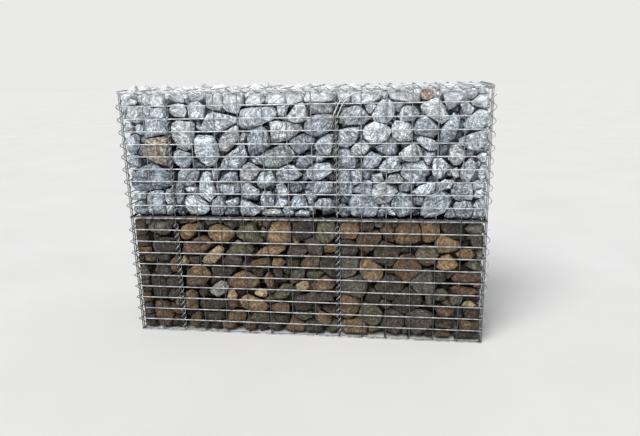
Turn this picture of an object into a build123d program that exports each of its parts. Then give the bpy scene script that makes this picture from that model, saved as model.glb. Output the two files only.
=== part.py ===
"""Gabion wall: two stacked welded-mesh baskets filled with stone and laced with spiral binders.

Frame: origin under the middle of the wall, +X along its length, +Z up, the front face toward -Y.
"""
from build123d import *

import math
import os

# Driving dimensions, in millimetres

BASKET_HEIGHT = 500
COLUMN_PITCH = 95
FACE_COLUMNS = 15
DEPTH_COLUMNS = 4
FACE_ROWS = 10
REAR_ROWS = 5
WIRE = 4.5
CLEARANCE = 0.3
SEAM_COLUMNS = (2, 9)

BINDER_WIRE_RADIUS = 2.4
BINDER_PLAY = 1.5
BINDER_SIDES = 4
FILL_BEVEL = 28

# Sizes that follow from them

LENGTH = FACE_COLUMNS * COLUMN_PITCH + WIRE
DEPTH = DEPTH_COLUMNS * COLUMN_PITCH + WIRE
MESH = 2 * WIRE
INSET = MESH + CLEARANCE
WALL_TOP = 2 * BASKET_HEIGHT
FACE_ROW_PITCH = (BASKET_HEIGHT - WIRE) / FACE_ROWS
BINDER_PITCH = COLUMN_PITCH / 2
BINDER_REACH = (INSET + WIRE) / 2 + BINDER_PLAY + BINDER_WIRE_RADIUS
BINDER_RADIUS = BINDER_REACH / math.cos(math.pi / BINDER_SIDES)
BINDER_SEAT = BINDER_REACH - BINDER_WIRE_RADIUS - CLEARANCE
BASKETS = {"lower": 0, "upper": BASKET_HEIGHT}


def column_x(column):
    """The middle of an upright wire of the face, counted from the left end."""
    return -LENGTH / 2 + WIRE / 2 + column * COLUMN_PITCH


def save(part, name):
    part.label = name
    export_step(part, f"parts/{name}.step")


def welded_mesh(name, frame, width, height, columns, rows):
    """A mesh panel: long wires on the frame's face, cross wires welded on behind them.

    The frame's origin is a corner of the panel, its x axis runs along the long wires, its y axis
    along the cross wires, and its z axis points out of the basket.
    """
    long_ends = Plane(origin=frame.origin, x_dir=frame.y_dir, z_dir=frame.x_dir)
    cross_ends = Plane(origin=frame.origin, x_dir=frame.x_dir, z_dir=frame.y_dir)
    with BuildPart() as mesh:
        with BuildSketch(long_ends):
            with Locations((height / 2, -WIRE / 2)):
                with GridLocations((height - WIRE) / rows, WIRE, rows + 1, 1):
                    Rectangle(WIRE, WIRE)
        extrude(amount=width)
        with BuildSketch(cross_ends):
            with Locations((width / 2, 1.5 * WIRE)):
                with GridLocations((width - WIRE) / columns, WIRE, columns + 1, 1):
                    Rectangle(WIRE, WIRE)
        extrude(amount=height)
    save(mesh.part, name)


def upright_meshes(basket, floor):
    """The front, the back and the two ends of one basket, the ends standing between the others."""
    front = Plane(origin=(-LENGTH / 2, -DEPTH / 2, floor), x_dir=(1, 0, 0), z_dir=(0, -1, 0))
    back = Plane(origin=(LENGTH / 2, DEPTH / 2, floor), x_dir=(-1, 0, 0), z_dir=(0, 1, 0))
    left = Plane(origin=(-LENGTH / 2, DEPTH / 2 - INSET, floor), x_dir=(0, -1, 0), z_dir=(-1, 0, 0))
    right = Plane(origin=(LENGTH / 2, -DEPTH / 2 + INSET, floor), x_dir=(0, 1, 0), z_dir=(1, 0, 0))
    end_width = DEPTH - 2 * INSET
    welded_mesh(f"{basket}_front_mesh", front, LENGTH, BASKET_HEIGHT, FACE_COLUMNS, FACE_ROWS)
    welded_mesh(f"{basket}_back_mesh", back, LENGTH, BASKET_HEIGHT, FACE_COLUMNS, REAR_ROWS)
    welded_mesh(f"{basket}_left_end_mesh", left, end_width, BASKET_HEIGHT, DEPTH_COLUMNS, REAR_ROWS)
    welded_mesh(f"{basket}_right_end_mesh", right, end_width, BASKET_HEIGHT, DEPTH_COLUMNS, REAR_ROWS)


def level_mesh(name, height, inset):
    """A floor or lid: long wires below, cross wires on them, set in from the wall's outline."""
    corner = (-LENGTH / 2 + inset, DEPTH / 2 - inset, height)
    frame = Plane(origin=corner, x_dir=(1, 0, 0), z_dir=(0, 0, -1))
    welded_mesh(name, frame, LENGTH - 2 * inset, DEPTH - 2 * inset, FACE_COLUMNS, DEPTH_COLUMNS)


def spiral_binder(name, start, pitch, facing, first_corner, last_corner):
    """A spiral of wire screwed through two meshes, one turn to each cell.

    It winds about the z axis of the plane start, whose origin lies level with a wire of the mesh.
    There it passes the outside of the basket, in the direction facing, in degrees.
    Its corners are counted in parts of a turn from that level.
    """
    corners = []
    steps = last_corner - first_corner
    for step in range(round(steps) + 1):
        corner = first_corner + step
        angle = math.radians(facing + 360 * corner / BINDER_SIDES)
        across = BINDER_RADIUS * math.cos(angle)
        up = BINDER_RADIUS * math.sin(angle)
        along = pitch * corner / BINDER_SIDES
        corners.append(start.from_local_coords(Vector(across, up, along)))
    with BuildPart() as binder:
        with BuildLine() as path:
            Polyline(*corners)
        with BuildSketch(Plane(origin=corners[0], z_dir=corners[1] - corners[0])):
            RegularPolygon(radius=BINDER_WIRE_RADIUS, side_count=3)
        sweep(path=path.wire(), transition=Transition.RIGHT)
    save(binder.part, name)


def corner_binders(basket, floor):
    """Four upright binders: each holds the edge wires of a long mesh and of an end mesh."""
    across = LENGTH / 2 - INSET + BINDER_REACH - BINDER_WIRE_RADIUS
    along = DEPTH / 2 - BINDER_SEAT
    level = floor + WIRE / 2
    places = {
        "front_left": (-across, -along, 225),
        "front_right": (across, -along, 315),
        "back_right": (across, along, 45),
        "back_left": (-across, along, 135),
    }
    last_corner = BINDER_SIDES * FACE_ROWS - 2
    for corner, (x, y, facing) in places.items():
        start = Plane(origin=(x, y, level))
        spiral_binder(f"{basket}_{corner}_binder", start, FACE_ROW_PITCH, facing, 2, last_corner)


def seam_binders(basket, floor):
    """The upright binders that hold an inner partition's edge to the face."""
    last_corner = BINDER_SIDES * FACE_ROWS - 1.5
    for number, column in enumerate(SEAM_COLUMNS, start=1):
        start = Plane(origin=(column_x(column), -DEPTH / 2 + BINDER_SEAT, floor + WIRE / 2))
        spiral_binder(f"{basket}_seam_binder_{number}", start, FACE_ROW_PITCH, 270, 1.5, last_corner)


def edge_binder(name, height, facing, shift):
    """A level binder along the front, two turns to each column of the mesh."""
    corner = (column_x(0), -DEPTH / 2 + BINDER_SEAT, height)
    start = Plane(origin=corner, x_dir=(0, 1, 0), z_dir=(1, 0, 0))
    last_corner = 2 * BINDER_SIDES * FACE_COLUMNS - 2 - shift
    spiral_binder(name, start, BINDER_PITCH, facing, 2 + shift, last_corner)


def stone_fill(basket, floor):
    """The mass of stone of each compartment, its edges bevelled clear of the binders."""
    edges = [-LENGTH / 2 + MESH]
    for column in SEAM_COLUMNS:
        edges.append(column_x(column))
    edges.append(LENGTH / 2 - MESH)
    gaps = [CLEARANCE, WIRE + CLEARANCE, WIRE + CLEARANCE, CLEARANCE]
    bottom = floor + MESH
    top = floor + BASKET_HEIGHT - CLEARANCE
    for number in range(len(edges) - 1):
        left = edges[number] + gaps[number]
        right = edges[number + 1] - gaps[number + 1]
        with BuildPart() as fill:
            with BuildSketch(Plane.XY.offset(bottom)):
                with Locations(((left + right) / 2, 0)):
                    Rectangle(right - left, DEPTH - 2 * INSET)
            extrude(amount=top - bottom)
            chamfer(fill.edges(), FILL_BEVEL)
        save(fill.part, f"{basket}_stone_fill_{number + 1}")


os.makedirs("parts", exist_ok=True)

level_mesh("base_mesh", 0, INSET)
level_mesh("tier_mesh", BASKET_HEIGHT, INSET)
level_mesh("lid_mesh", WALL_TOP, 0)

for basket_name, basket_floor in BASKETS.items():
    upright_meshes(basket_name, basket_floor)
    corner_binders(basket_name, basket_floor)
    seam_binders(basket_name, basket_floor)
    stone_fill(basket_name, basket_floor)

edge_binder("tier_front_binder", BASKET_HEIGHT, 180, 0.5)
edge_binder("lid_front_binder", WALL_TOP + MESH - BINDER_SEAT, 135, 0)
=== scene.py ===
# %% [markdown]
# A gabion wall: two welded-mesh baskets, one on the other, packed with stone and laced with wire spirals.
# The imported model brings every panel, spiral and stone fill at its real place, in metres.
# This lesson dresses it: square bars become round wires and each block of fill becomes single stones.

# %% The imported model
import math

import bpy
import numpy as np
from mathutils import Matrix, Vector


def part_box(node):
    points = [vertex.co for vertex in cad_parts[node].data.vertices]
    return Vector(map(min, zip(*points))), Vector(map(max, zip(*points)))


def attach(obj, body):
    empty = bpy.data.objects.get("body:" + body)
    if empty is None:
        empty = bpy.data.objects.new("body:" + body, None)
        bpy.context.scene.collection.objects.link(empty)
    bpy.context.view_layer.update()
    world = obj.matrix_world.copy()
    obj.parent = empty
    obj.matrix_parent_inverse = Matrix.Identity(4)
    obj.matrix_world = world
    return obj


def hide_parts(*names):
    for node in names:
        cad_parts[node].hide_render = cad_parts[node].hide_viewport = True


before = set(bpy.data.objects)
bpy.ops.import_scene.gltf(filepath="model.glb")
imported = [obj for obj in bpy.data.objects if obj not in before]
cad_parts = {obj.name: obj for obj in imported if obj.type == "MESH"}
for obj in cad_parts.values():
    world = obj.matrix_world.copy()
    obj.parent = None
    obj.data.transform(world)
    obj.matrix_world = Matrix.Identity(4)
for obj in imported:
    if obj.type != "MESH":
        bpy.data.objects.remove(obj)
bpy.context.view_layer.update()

# %% [markdown]
# Everything here hangs on a few sizes of the baskets. They could be typed in, but then a changed wall would
# no longer fit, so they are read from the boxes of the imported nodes.

# %% Sizes of the baskets
FACE_COLUMNS = 15
FACE_ROWS = 10
DEPTH_COLUMNS = 4
SEAM_COLUMNS = (2, 9)
CLEARANCE = 0.0003
TIERS = ("lower", "upper")

face_low, face_high = (np.array(corner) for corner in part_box("lower_front_mesh"))
back_high = np.array(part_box("lower_back_mesh")[1])
MESH = face_high[1] - face_low[1]
WIRE = MESH / 2
LENGTH = face_high[0] - face_low[0]
DEPTH = back_high[1] - face_low[1]
BASKET = face_high[2] - face_low[2]
COLUMN_PITCH = (LENGTH - WIRE) / FACE_COLUMNS
ROW_PITCH = (BASKET - WIRE) / FACE_ROWS
INSET = MESH + CLEARANCE
FLOOR = {"lower": 0.0, "upper": BASKET}


def column_x(column):
    """Where an upright wire of the face stands, counted from the left end."""
    return -LENGTH / 2 + WIRE / 2 + column * COLUMN_PITCH


print(f"wall {LENGTH:.3f} x {DEPTH:.3f} x {2 * BASKET:.3f} m, cells {COLUMN_PITCH:.4f} x {ROW_PITCH:.4f} m")

# %% [markdown]
# The camera comes first, because the stones are set out by how they look from it. It stands a little right
# of the middle, about as high as the lid, and looks down to the left. A camera can be aimed with a Track To
# constraint, but this one leans by a degree, so its three axes are worked out and put into a matrix.

# %% Camera
CAMERA_PLACE = np.array([0.394, -2.372, 1.085])
VIEW_DIRECTION = Vector((-0.140, 0.957, -0.253)).normalized()
CAMERA_LEAN = math.radians(-1.37)
SENSOR_WIDTH = 36.0
LENS = 32.67

level = VIEW_DIRECTION.cross(Vector((0, 0, 1))).normalized()
upward = level.cross(VIEW_DIRECTION)
right = level * math.cos(CAMERA_LEAN) + upward * math.sin(CAMERA_LEAN)
top = right.cross(VIEW_DIRECTION)

camera_data = bpy.data.cameras.new("photo_camera")
camera_data.sensor_width = SENSOR_WIDTH
camera_data.lens = LENS
camera = bpy.data.objects.new("photo_camera", camera_data)
bpy.context.scene.collection.objects.link(camera)
axes = Matrix((right, top, -VIEW_DIRECTION)).transposed().to_4x4()
camera.matrix_world = Matrix.Translation(Vector(CAMERA_PLACE)) @ axes
bpy.context.scene.camera = camera
print("camera at", CAMERA_PLACE, "lens", LENS)

# %% [markdown]
# Arrays of points and faces have to become meshes. from_pydata is the short way, but it walks through Python
# lists. foreach_set copies whole arrays, which matters for stones with many thousands of corners.

# %% From arrays to a piece
def new_piece(name, points, faces, material, replaced, values, crease=None):
    """Make a mesh object from an array of points and a list of face arrays, one for each corner count.

    values holds attributes by name: one number, or one colour of four numbers, for each point. Edges that
    turn by more than crease, in degrees, stay sharp.
    """
    mesh = bpy.data.meshes.new(name)
    corners = np.concatenate([group.ravel() for group in faces]).astype(np.int32)
    counts = np.concatenate([np.full(len(group), group.shape[1]) for group in faces])
    starts = np.concatenate([[0], np.cumsum(counts)[:-1]]).astype(np.int32)
    mesh.vertices.add(len(points))
    mesh.vertices.foreach_set("co", points.astype(np.float32).ravel())
    mesh.loops.add(len(corners))
    mesh.loops.foreach_set("vertex_index", corners)
    mesh.polygons.add(len(starts))
    mesh.polygons.foreach_set("loop_start", starts)
    mesh.update(calc_edges=True)
    for label, data in values.items():
        kind, field = ("FLOAT", "value") if data.ndim == 1 else ("FLOAT_COLOR", "color")
        mesh.attributes.new(label, kind, "POINT").data.foreach_set(field, data.astype(np.float32).ravel())
    mesh.shade_smooth()
    if crease:
        mesh.set_sharp_from_angle(angle=math.radians(crease))
    mesh.materials.append(material)
    piece = bpy.data.objects.new(name, mesh)
    bpy.context.scene.collection.objects.link(piece)
    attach(piece, "root")
    if replaced:
        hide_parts(replaced)


def triangle_count(faces):
    """Each face of n corners counts as n - 2 triangles."""
    return sum(len(group) * (group.shape[1] - 2) for group in faces)


def join(bodies):
    """Put several (points, faces) bodies into one, moving the face numbers along."""
    points = np.concatenate([body[0] for body in bodies])
    offset = 0
    groups = {}
    for body_points, body_faces in bodies:
        for group in body_faces:
            groups.setdefault(group.shape[1], []).append(group + offset)
        offset += len(body_points)
    return points, [np.concatenate(same) for same in groups.values()]


# %% [markdown]
# All the wire in the wall is a round section carried along a path. Blender can do that with a curve and a
# bevel depth. Here the section is carried by hand, because hundreds of wires then come out of one array.

# %% Wire along a path
WIRE_SIDES = 8


def unit(vectors):
    """Each vector, cut or stretched to a length of one."""
    return vectors / np.linalg.norm(vectors, axis=-1, keepdims=True)


def tube(paths, outward, radius, sides=WIRE_SIDES):
    """Carry a circle along each path; paths is an array of wires x points x 3.

    At each point the tangent is the difference of its neighbours. The circle lies across it, and starts
    from the direction outward: point + radius (cos a outward + sin a tangent x outward).
    """
    tangent = unit(np.gradient(paths, axis=1))
    second = unit(np.cross(tangent, np.broadcast_to(outward, paths.shape)))
    first = np.cross(second, tangent)
    angle = 2 * np.pi * np.arange(sides) / sides
    circle = first[:, :, None] * np.cos(angle)[:, None] + second[:, :, None] * np.sin(angle)[:, None]
    points = paths[:, :, None] + radius * circle
    wires, steps = paths.shape[:2]
    number = np.arange(wires * steps * sides).reshape(wires, steps, sides)
    ahead = np.roll(number, -1, axis=2)
    walls = np.stack([number[:, :-1], ahead[:, :-1], ahead[:, 1:], number[:, 1:]], axis=-1).reshape(-1, 4)
    caps = np.concatenate([number[:, 0, ::-1], number[:, -1]])
    return points.reshape(-1, 3), [walls, caps]


# %% [markdown]
# Nothing on the wall is quite straight or even. A Displace modifier with a texture could bend a finished
# mesh. A sum of sines does it while the shape is made, and wires, spirals and stones all use this one.

# %% Smooth chance
WAVES = 5
WAVE_LENGTHS = (0.7, 1.5)


def waves(place, seed, size):
    """A smooth random value from -1 to 1: the mean of sines across random directions, of about one size."""
    chance = np.random.default_rng(seed)
    ways = unit(chance.normal(size=(WAVES, place.shape[-1])))
    lengths = size * chance.uniform(*WAVE_LENGTHS, WAVES)
    phases = chance.uniform(0, 2 * np.pi, WAVES)
    return np.sin(place @ (ways / lengths[:, None] * 2 * np.pi).T + phases).sum(axis=-1) / WAVES


# %% [markdown]
# Materials are made of nodes. These helpers keep the wiring short. The first ones add any node and start a
# material, and the others add the kinds used most and hand on the output that the next node needs.

# %% Helpers for materials
def set_inputs(tree, made, inputs):
    """Set each input of a node by name or number, or link it where the value comes from another node."""
    for key, value in inputs.items():
        if isinstance(value, bpy.types.NodeSocket):
            tree.links.new(value, made.inputs[key])
        else:
            made.inputs[key].default_value = value


def node(tree, kind, settings=None, inputs=None):
    """Add a node, set its properties, and fill its inputs."""
    made = tree.nodes.new(kind)
    for key, value in (settings or {}).items():
        setattr(made, key, value)
    set_inputs(tree, made, inputs or {})
    return made


def start_material(name):
    """A material, its Principled shader, and the Object coordinates that every pattern here starts from."""
    material = bpy.data.materials.new(name)
    material.use_nodes = True
    tree = material.node_tree
    shader = tree.nodes["Principled BSDF"]
    place = node(tree, "ShaderNodeTexCoord").outputs["Object"]
    return material, tree, shader, place


# %% Helpers for patterns
def attribute(tree, name):
    """The outputs for a value that the points of the mesh carry."""
    return node(tree, "ShaderNodeAttribute", {"attribute_name": name}).outputs


def noise(tree, place, scale, detail, roughness=0.5, distortion=0.0):
    """Cloudy noise between 0 and 1, mostly between 0.3 and 0.7."""
    made = node(tree, "ShaderNodeTexNoise", inputs={
        "Vector": place, "Scale": scale, "Detail": detail, "Roughness": roughness, "Distortion": distortion})
    return made.outputs["Fac"]


def spread(tree, value, low, high, to_low, to_high):
    """Stretch a value between two limits onto two others, and hold it there beyond them."""
    made = node(tree, "ShaderNodeMapRange", inputs={
        "Value": value, "From Min": low, "From Max": high, "To Min": to_low, "To Max": to_high})
    return made.outputs["Result"]


def combine(tree, operation, *values):
    """One number from two or three, as by MULTIPLY or MAXIMUM."""
    return node(tree, "ShaderNodeMath", {"operation": operation}, dict(enumerate(values))).outputs["Value"]


def scaled(tree, vector, factor):
    """A vector or a colour, times a number."""
    made = node(tree, "ShaderNodeVectorMath", {"operation": "SCALE"}, {0: vector, "Scale": factor})
    return made.outputs["Vector"]


def blend(tree, factor, first, second, kind="RGBA"):
    """From the first colour or number to the second, by a factor of 0 to 1."""
    made = node(tree, "ShaderNodeMix", {"data_type": kind}, {"Factor": factor, "A": first, "B": second})
    return made.outputs["Result"]


def bump(tree, height, distance, strength, onto=None):
    """Relief from a pattern, if need be onto the normal of a coarser one."""
    made = node(tree, "ShaderNodeBump", inputs={
        "Strength": strength, "Distance": distance, "Height": height})
    if onto is not None:
        tree.links.new(onto, made.inputs["Normal"])
    return made.outputs["Normal"]


def ramp(tree, value, stops):
    """A colour ramp with the given (position, grey or colour) stops."""
    made = node(tree, "ShaderNodeValToRGB", inputs={"Fac": value})
    elements = made.color_ramp.elements
    for index, (position, tone) in enumerate(stops):
        element = elements[index] if index < 2 else elements.new(position)
        element.position = position
        element.color = (tone, tone, tone, 1) if np.isscalar(tone) else (*tone, 1)
    return made.outputs["Color"]


def linear(red, green, blue):
    """Turn a screen colour of 0 to 255 into the linear light that shaders count in."""
    return tuple((level / 255) ** 2.2 for level in (red, green, blue))


# %% [markdown]
# The wire is galvanised: grey zinc, bright where it is clean and dull where rain and dust have been on it.
# A metal with one roughness looks like plastic, so a cloudy pattern moves both colour and roughness.

# %% Galvanised wire
CLOUD_SCALE = 55.0
SPECK_SCALE = 190.0
SPECK_RELIEF = 0.0004
METAL_SHARE = 0.55
DIRT_AND_SHADE_LOSS = 0.8


def zinc(name, bright, dull, dirt):
    """Bright zinc clouded by dull patches, with specks of brown dirt.

    The attribute on its points darkens it with dirt and painted shade: colour x (1 - DIRT_AND_SHADE_LOSS x
    the attribute). Below 0 it brightens it with painted light.
    """
    material, tree, shader, place = start_material(name)
    clouds = noise(tree, place, CLOUD_SCALE, 4.0)
    specks = noise(tree, place, SPECK_SCALE, 5.0)
    tone = ramp(tree, clouds, [(0.35, dull), (0.62, bright)])
    spots = ramp(tree, specks, [(0.60, 0.0), (0.72, 0.7)])
    # Dirt and painted shade darken the wire here, and values below 0 paint light on it.
    kept = combine(tree, "MULTIPLY_ADD", attribute(tree, "dirt_shade_and_light")["Fac"], -DIRT_AND_SHADE_LOSS, 1.0)
    set_inputs(tree, shader, {
        "Base Color": scaled(tree, blend(tree, spots, tone, (*dirt, 1)), kept),
        "Roughness": ramp(tree, clouds, [(0.3, 0.6), (0.7, 0.36)]),
        "Normal": bump(tree, specks, SPECK_RELIEF, 0.25),
        "Metallic": METAL_SHARE})
    return material


MESH_ZINC = zinc("mesh_zinc", linear(206, 209, 211), linear(150, 152, 153), linear(112, 94, 74))
BINDER_ZINC = zinc("binder_zinc", linear(190, 194, 196), linear(104, 107, 109), linear(84, 72, 58))

# %% [markdown]
# A panel of the basket is a grid of straight wires in two layers, welded where they cross. On the real one
# stone pushes the layers out by a millimetre or two. Both layers take that bulge from one wavy surface, so
# that they stay in touch, and every wire wanders a little in its own line as well.

# %% Welded panels
BULGE = 0.0011
BULGE_SPAN = 0.30
BULGE_SEED = 31
WANDER = 0.0009
WANDER_SPAN = 0.45
WAVES_APART = 10
END_FADE = 0.05
STEP = 0.024
CROSS_WIRE = 0.43
CROSS_SHADE = 0.42


def wire_family(origin, along, across, outward, length, places, depth, seed):
    """Parallel wires: each runs along one way, stands at its place across, and lies at a depth inside.

    All wires share one wavy bulge, of 0 to BULGE inward. Each also drifts across by waves of its own, which
    fade out at its ends.
    """
    run = np.linspace(0, length, int(length / STEP) + 2)
    paths = origin + run[None, :, None] * along + places[:, None, None] * across
    inside = (waves(paths, BULGE_SEED, BULGE_SPAN) - 1.0) * BULGE / 2 - depth
    own_place = np.stack(np.broadcast_arrays(run[None, :], WAVES_APART * places[:, None]), axis=-1)
    fade = np.minimum(1, np.minimum(run, length - run) / END_FADE)[None, :]
    drift = waves(own_place, seed, WANDER_SPAN) * fade * WANDER
    return paths + inside[..., None] * outward + drift[..., None] * across


def panel(name, node_name, outward, rows, columns, seed, darkening, lowest=0.0, behind=CROSS_SHADE):
    """Round wires for one welded panel, inside the box of its node.

    The long wires are outermost, half a wire deep, and the cross wires lie behind them. The darkening, of
    dirt and painted shade, dulls the whole panel, and below 0 paints light on it. On top of that the lowest
    long wire gets dirt and painted shade, and the cross wires behind get painted shade.
    """
    low, high = (np.array(corner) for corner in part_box(node_name))
    outward = np.array(outward, float)
    flat = np.abs(outward)
    along = np.array([0.0, 1.0, 0.0]) if flat[0] else np.array([1.0, 0.0, 0.0])
    across = np.ones(3) - flat - along
    origin = np.where(outward > 0, high, low) * flat + low * (1 - flat)
    width = (high - low) @ along
    height = (high - low) @ across
    row_places = np.linspace(WIRE / 2, height - WIRE / 2, rows + 1)
    column_places = np.linspace(WIRE / 2, width - WIRE / 2, columns + 1)
    long_wires = wire_family(origin, along, across, outward, width, row_places, WIRE / 2, seed)
    cross_wires = wire_family(origin, across, along, outward, height, column_places, 1.5 * WIRE, seed + 1)
    long_body = tube(long_wires, outward, WIRE / 2)
    cross_body = tube(cross_wires, outward, CROSS_WIRE * WIRE)
    points, faces = join([long_body, cross_body])
    # Dirt and painted shade on the panel, more on its lowest long wire, and painted shade on the cross
    # wires.
    dirt_shade_and_light = np.full(len(points), darkening)
    dirt_shade_and_light[:len(long_body[0]) // (rows + 1)] += lowest
    dirt_shade_and_light[len(long_body[0]):] += behind
    new_piece(name, points, faces, MESH_ZINC, node_name, {"dirt_shade_and_light": dirt_shade_and_light})
    print(f"{name}: {rows + 1} long and {columns + 1} cross wires, {triangle_count(faces)} triangles")


# %% [markdown]
# Dirt and painted shade dull the wire by different amounts. The lower basket and the left end get more
# painted shade, the wires of the joint between the tiers are nearly black with dirt and painted shade, and
# the lid is brightened with painted light. One number for each panel says how much, so that one zinc serves
# them all.

# %% All panels
SIDES = {"front": (0, -1, 0), "back": (0, 1, 0), "left_end": (-1, 0, 0), "right_end": (1, 0, 0)}
# Painted shade on the lower basket, dirt and painted shade on the upper basket's lowest wire.
TIER_SHADE_AND_DIRT = {"lower": (0.22, 0.0, 0.76), "upper": (0.0, 1.05, CROSS_SHADE)}
# The left end gets painted shade.
LEFT_END_SHADE = 0.60
# Dirt and painted shade at the joint, painted light on the lid.
LEVEL_DARKENING = {"base": 0.6, "tier": 1.1, "lid": -0.2}
PANEL_SEED = 100
LEVEL_PANEL_SEED = 200

for tier_number, tier in enumerate(TIERS):
    for side_number, (side, outward) in enumerate(SIDES.items()):
        columns = DEPTH_COLUMNS if "end" in side else FACE_COLUMNS
        seed = PANEL_SEED + 10 * tier_number + 2 * side_number
        darkening, lowest, behind = TIER_SHADE_AND_DIRT[tier]
        darkening += LEFT_END_SHADE * (side == "left_end")
        panel(f"{tier}_{side}_panel", f"{tier}_{side}_mesh", outward, FACE_ROWS, columns, seed,
              darkening, lowest, behind)
for number, (level_name, darkening) in enumerate(LEVEL_DARKENING.items()):
    panel(f"{level_name}_panel", f"{level_name}_mesh", (0, 0, -1), DEPTH_COLUMNS, FACE_COLUMNS,
          LEVEL_PANEL_SEED + number, darkening)

# %% [markdown]
# The panels are laced together with long wire spirals, screwed in so that each turn takes one cell. The
# Screw modifier can make a spiral. The formula is as short, and lets the turns be a little uneven, as they
# are on a spiral that was pulled into place by hand.

# %% One binder spiral
SPIRAL_WIRE = 0.0016
SPIRAL_SIDES = 6
TURN_POINTS = 16
SWAY = 0.035
SWAY_SPAN = 3.1
REACH_CHANGE = 0.05
REACH_SPAN = 2.3
SHADE_INSIDE = 0.75


def spiral(name, start, along, outward, radius, pitch, first, last, seed, replaced=None, strands=1,
           darkening=0.0):
    """A right-handed spiral about the line from start along one way.

    At turn t it stands at start + pitch t along, and swings to outward cos(2 pi t) + side sin(2 pi t).
    At whole turns it passes the outer side. A second strand runs half a turn behind the first. The part of
    its swing that lies inside the basket gets painted shade, on top of the darkening given.
    """
    along = np.array(along, float)
    outward = np.array(outward, float) / np.linalg.norm(outward)
    side = np.cross(along, outward)
    turn = np.linspace(first, last, int((last - first) * TURN_POINTS) + 1)
    sway = SWAY * waves(turn[:, None], seed, SWAY_SPAN)
    swing = 2 * np.pi * (turn + sway + np.arange(strands)[:, None] / 2)
    reach = radius * (1 + REACH_CHANGE * waves(turn[:, None], seed + 1, REACH_SPAN))
    spoke = np.cos(swing)[..., None] * outward + np.sin(swing)[..., None] * side
    path = np.array(start) + (pitch * turn)[:, None] * along + reach[:, None] * spoke
    points, faces = tube(path, spoke, SPIRAL_WIRE, SPIRAL_SIDES)
    # Painted shade on the part of each turn that lies inside the basket.
    dirt_shade_and_light = darkening + SHADE_INSIDE * np.clip(-np.cos(swing), 0, 1)
    new_piece(name, points, faces, BINDER_ZINC, replaced,
              {"dirt_shade_and_light": np.repeat(dirt_shade_and_light.ravel(), SPIRAL_SIDES)})
    print(f"{name}: {last - first:.1f} turns, {triangle_count(faces)} triangles")


# %% [markdown]
# Upright spirals hold the four corners of each basket and, at two seams, the edges of the inner partitions.
# At the front right corner the spiral starts half a turn later than at the others.

# %% Upright spirals
UP = (0, 0, 1)
CORNERS = {"front_left": (-1, -1), "front_right": (1, -1), "back_right": (1, 1), "back_left": (-1, 1)}
CORNER_RADIUS = 0.0122
CORNER_SEAT = 0.0081
CORNER_PLAY = 0.0015
CORNER_START = 0.5
CORNER_SEED = 300
LATE_START = 0.5
# The spirals at the left end get painted shade, as the left end does.
LEFT_SHADE = 0.6
SEAM_RADIUS = 0.0088
SEAM_SEAT = 0.0072
SEAM_START = 0.4
SEAM_SEED = 330

corner_x = LENGTH / 2 - INSET / 2 + WIRE / 2 + CORNER_PLAY
corner_y = DEPTH / 2 - CORNER_SEAT
for tier_number, tier in enumerate(TIERS):
    first_row = FLOOR[tier] + WIRE / 2
    for number, (corner, (to_x, to_y)) in enumerate(CORNERS.items()):
        late = LATE_START * (corner == "front_right")
        start = (to_x * corner_x, to_y * corner_y, first_row + late * ROW_PITCH)
        spiral(f"{tier}_{corner}_spiral", start, UP, (to_x, to_y, 0), CORNER_RADIUS, ROW_PITCH,
               CORNER_START, FACE_ROWS - CORNER_START - late, CORNER_SEED + 10 * tier_number + number,
               f"{tier}_{corner}_binder", darkening=LEFT_SHADE * (to_x < 0))
    for number, column in enumerate(SEAM_COLUMNS, start=1):
        for side, to_y in (("front", -1), ("back", 1)):
            start = (column_x(column), to_y * (DEPTH / 2 - SEAM_SEAT), first_row)
            seed = SEAM_SEED + 10 * tier_number + 2 * number + (side == "back")
            seam = f"{tier}_seam_binder_{number}" if side == "front" else None
            spiral(f"{tier}_{side}_seam_spiral_{number}", start, UP, (0, to_y, 0), SEAM_RADIUS, ROW_PITCH,
                   SEAM_START, FACE_ROWS - SEAM_START, seed, seam, strands=2)

# %% [markdown]
# Two spare strands hang down in front of the right seam, as they were left when the spiral was screwed in.
# They run from the top row of the mesh down to the left, one beside the other.

# %% Loose strands
STRAND_COLUMNS = (9.58, 9.34, 9.12, 8.90)
STRAND_ROWS = (0.12, 0.45, 1.0, 1.95)
STRAND_POINTS = 13
STRAND_WIRE = 0.0022
STRAND_STEP = (0.014, 0, -0.004)
STRAND_LIGHT = -0.6

run = np.linspace(0, 3, STRAND_POINTS)
across = column_x(np.interp(run, range(4), STRAND_COLUMNS))
height = 2 * BASKET - WIRE / 2 - ROW_PITCH * np.interp(run, range(4), STRAND_ROWS)
strand = np.stack([across, np.full(STRAND_POINTS, -DEPTH / 2 - STRAND_WIRE), height], axis=1)
strands = strand + np.array([[(0, 0, 0)], [STRAND_STEP]])
points, faces = tube(strands, np.array([0.0, -1.0, 0.0]), STRAND_WIRE, SPIRAL_SIDES)
# The strands are brightened with painted light.
dirt_shade_and_light = np.full(len(points), STRAND_LIGHT)
new_piece("upper_seam_strands", points, faces, MESH_ZINC, None, {"dirt_shade_and_light": dirt_shade_and_light})
print("loose strands:", triangle_count(faces), "triangles")

# %% [markdown]
# Level spirals close the lid and the joint between the tiers, with two turns to each column of the mesh.
# Each edge gives its height, the way out past the wires at the front, and its darkening.

# %% Level spirals
LEVEL_RADIUS = 0.0086
LEVEL_SEAT = 0.0055
LEVEL_PITCH = COLUMN_PITCH / 2
LEVEL_START = 0.5
LEVEL_SEED = 400
FRONT_END = 0.9
LID_LIFT = 0.0005
LID_SHIFT = 0.4
BACK_DROP = 0.002
EDGES = (("tier", BASKET, (0, -1, 0), 0.7), ("lid", 2 * BASKET + LID_LIFT, (0, -1, 1), 0.15))

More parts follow.
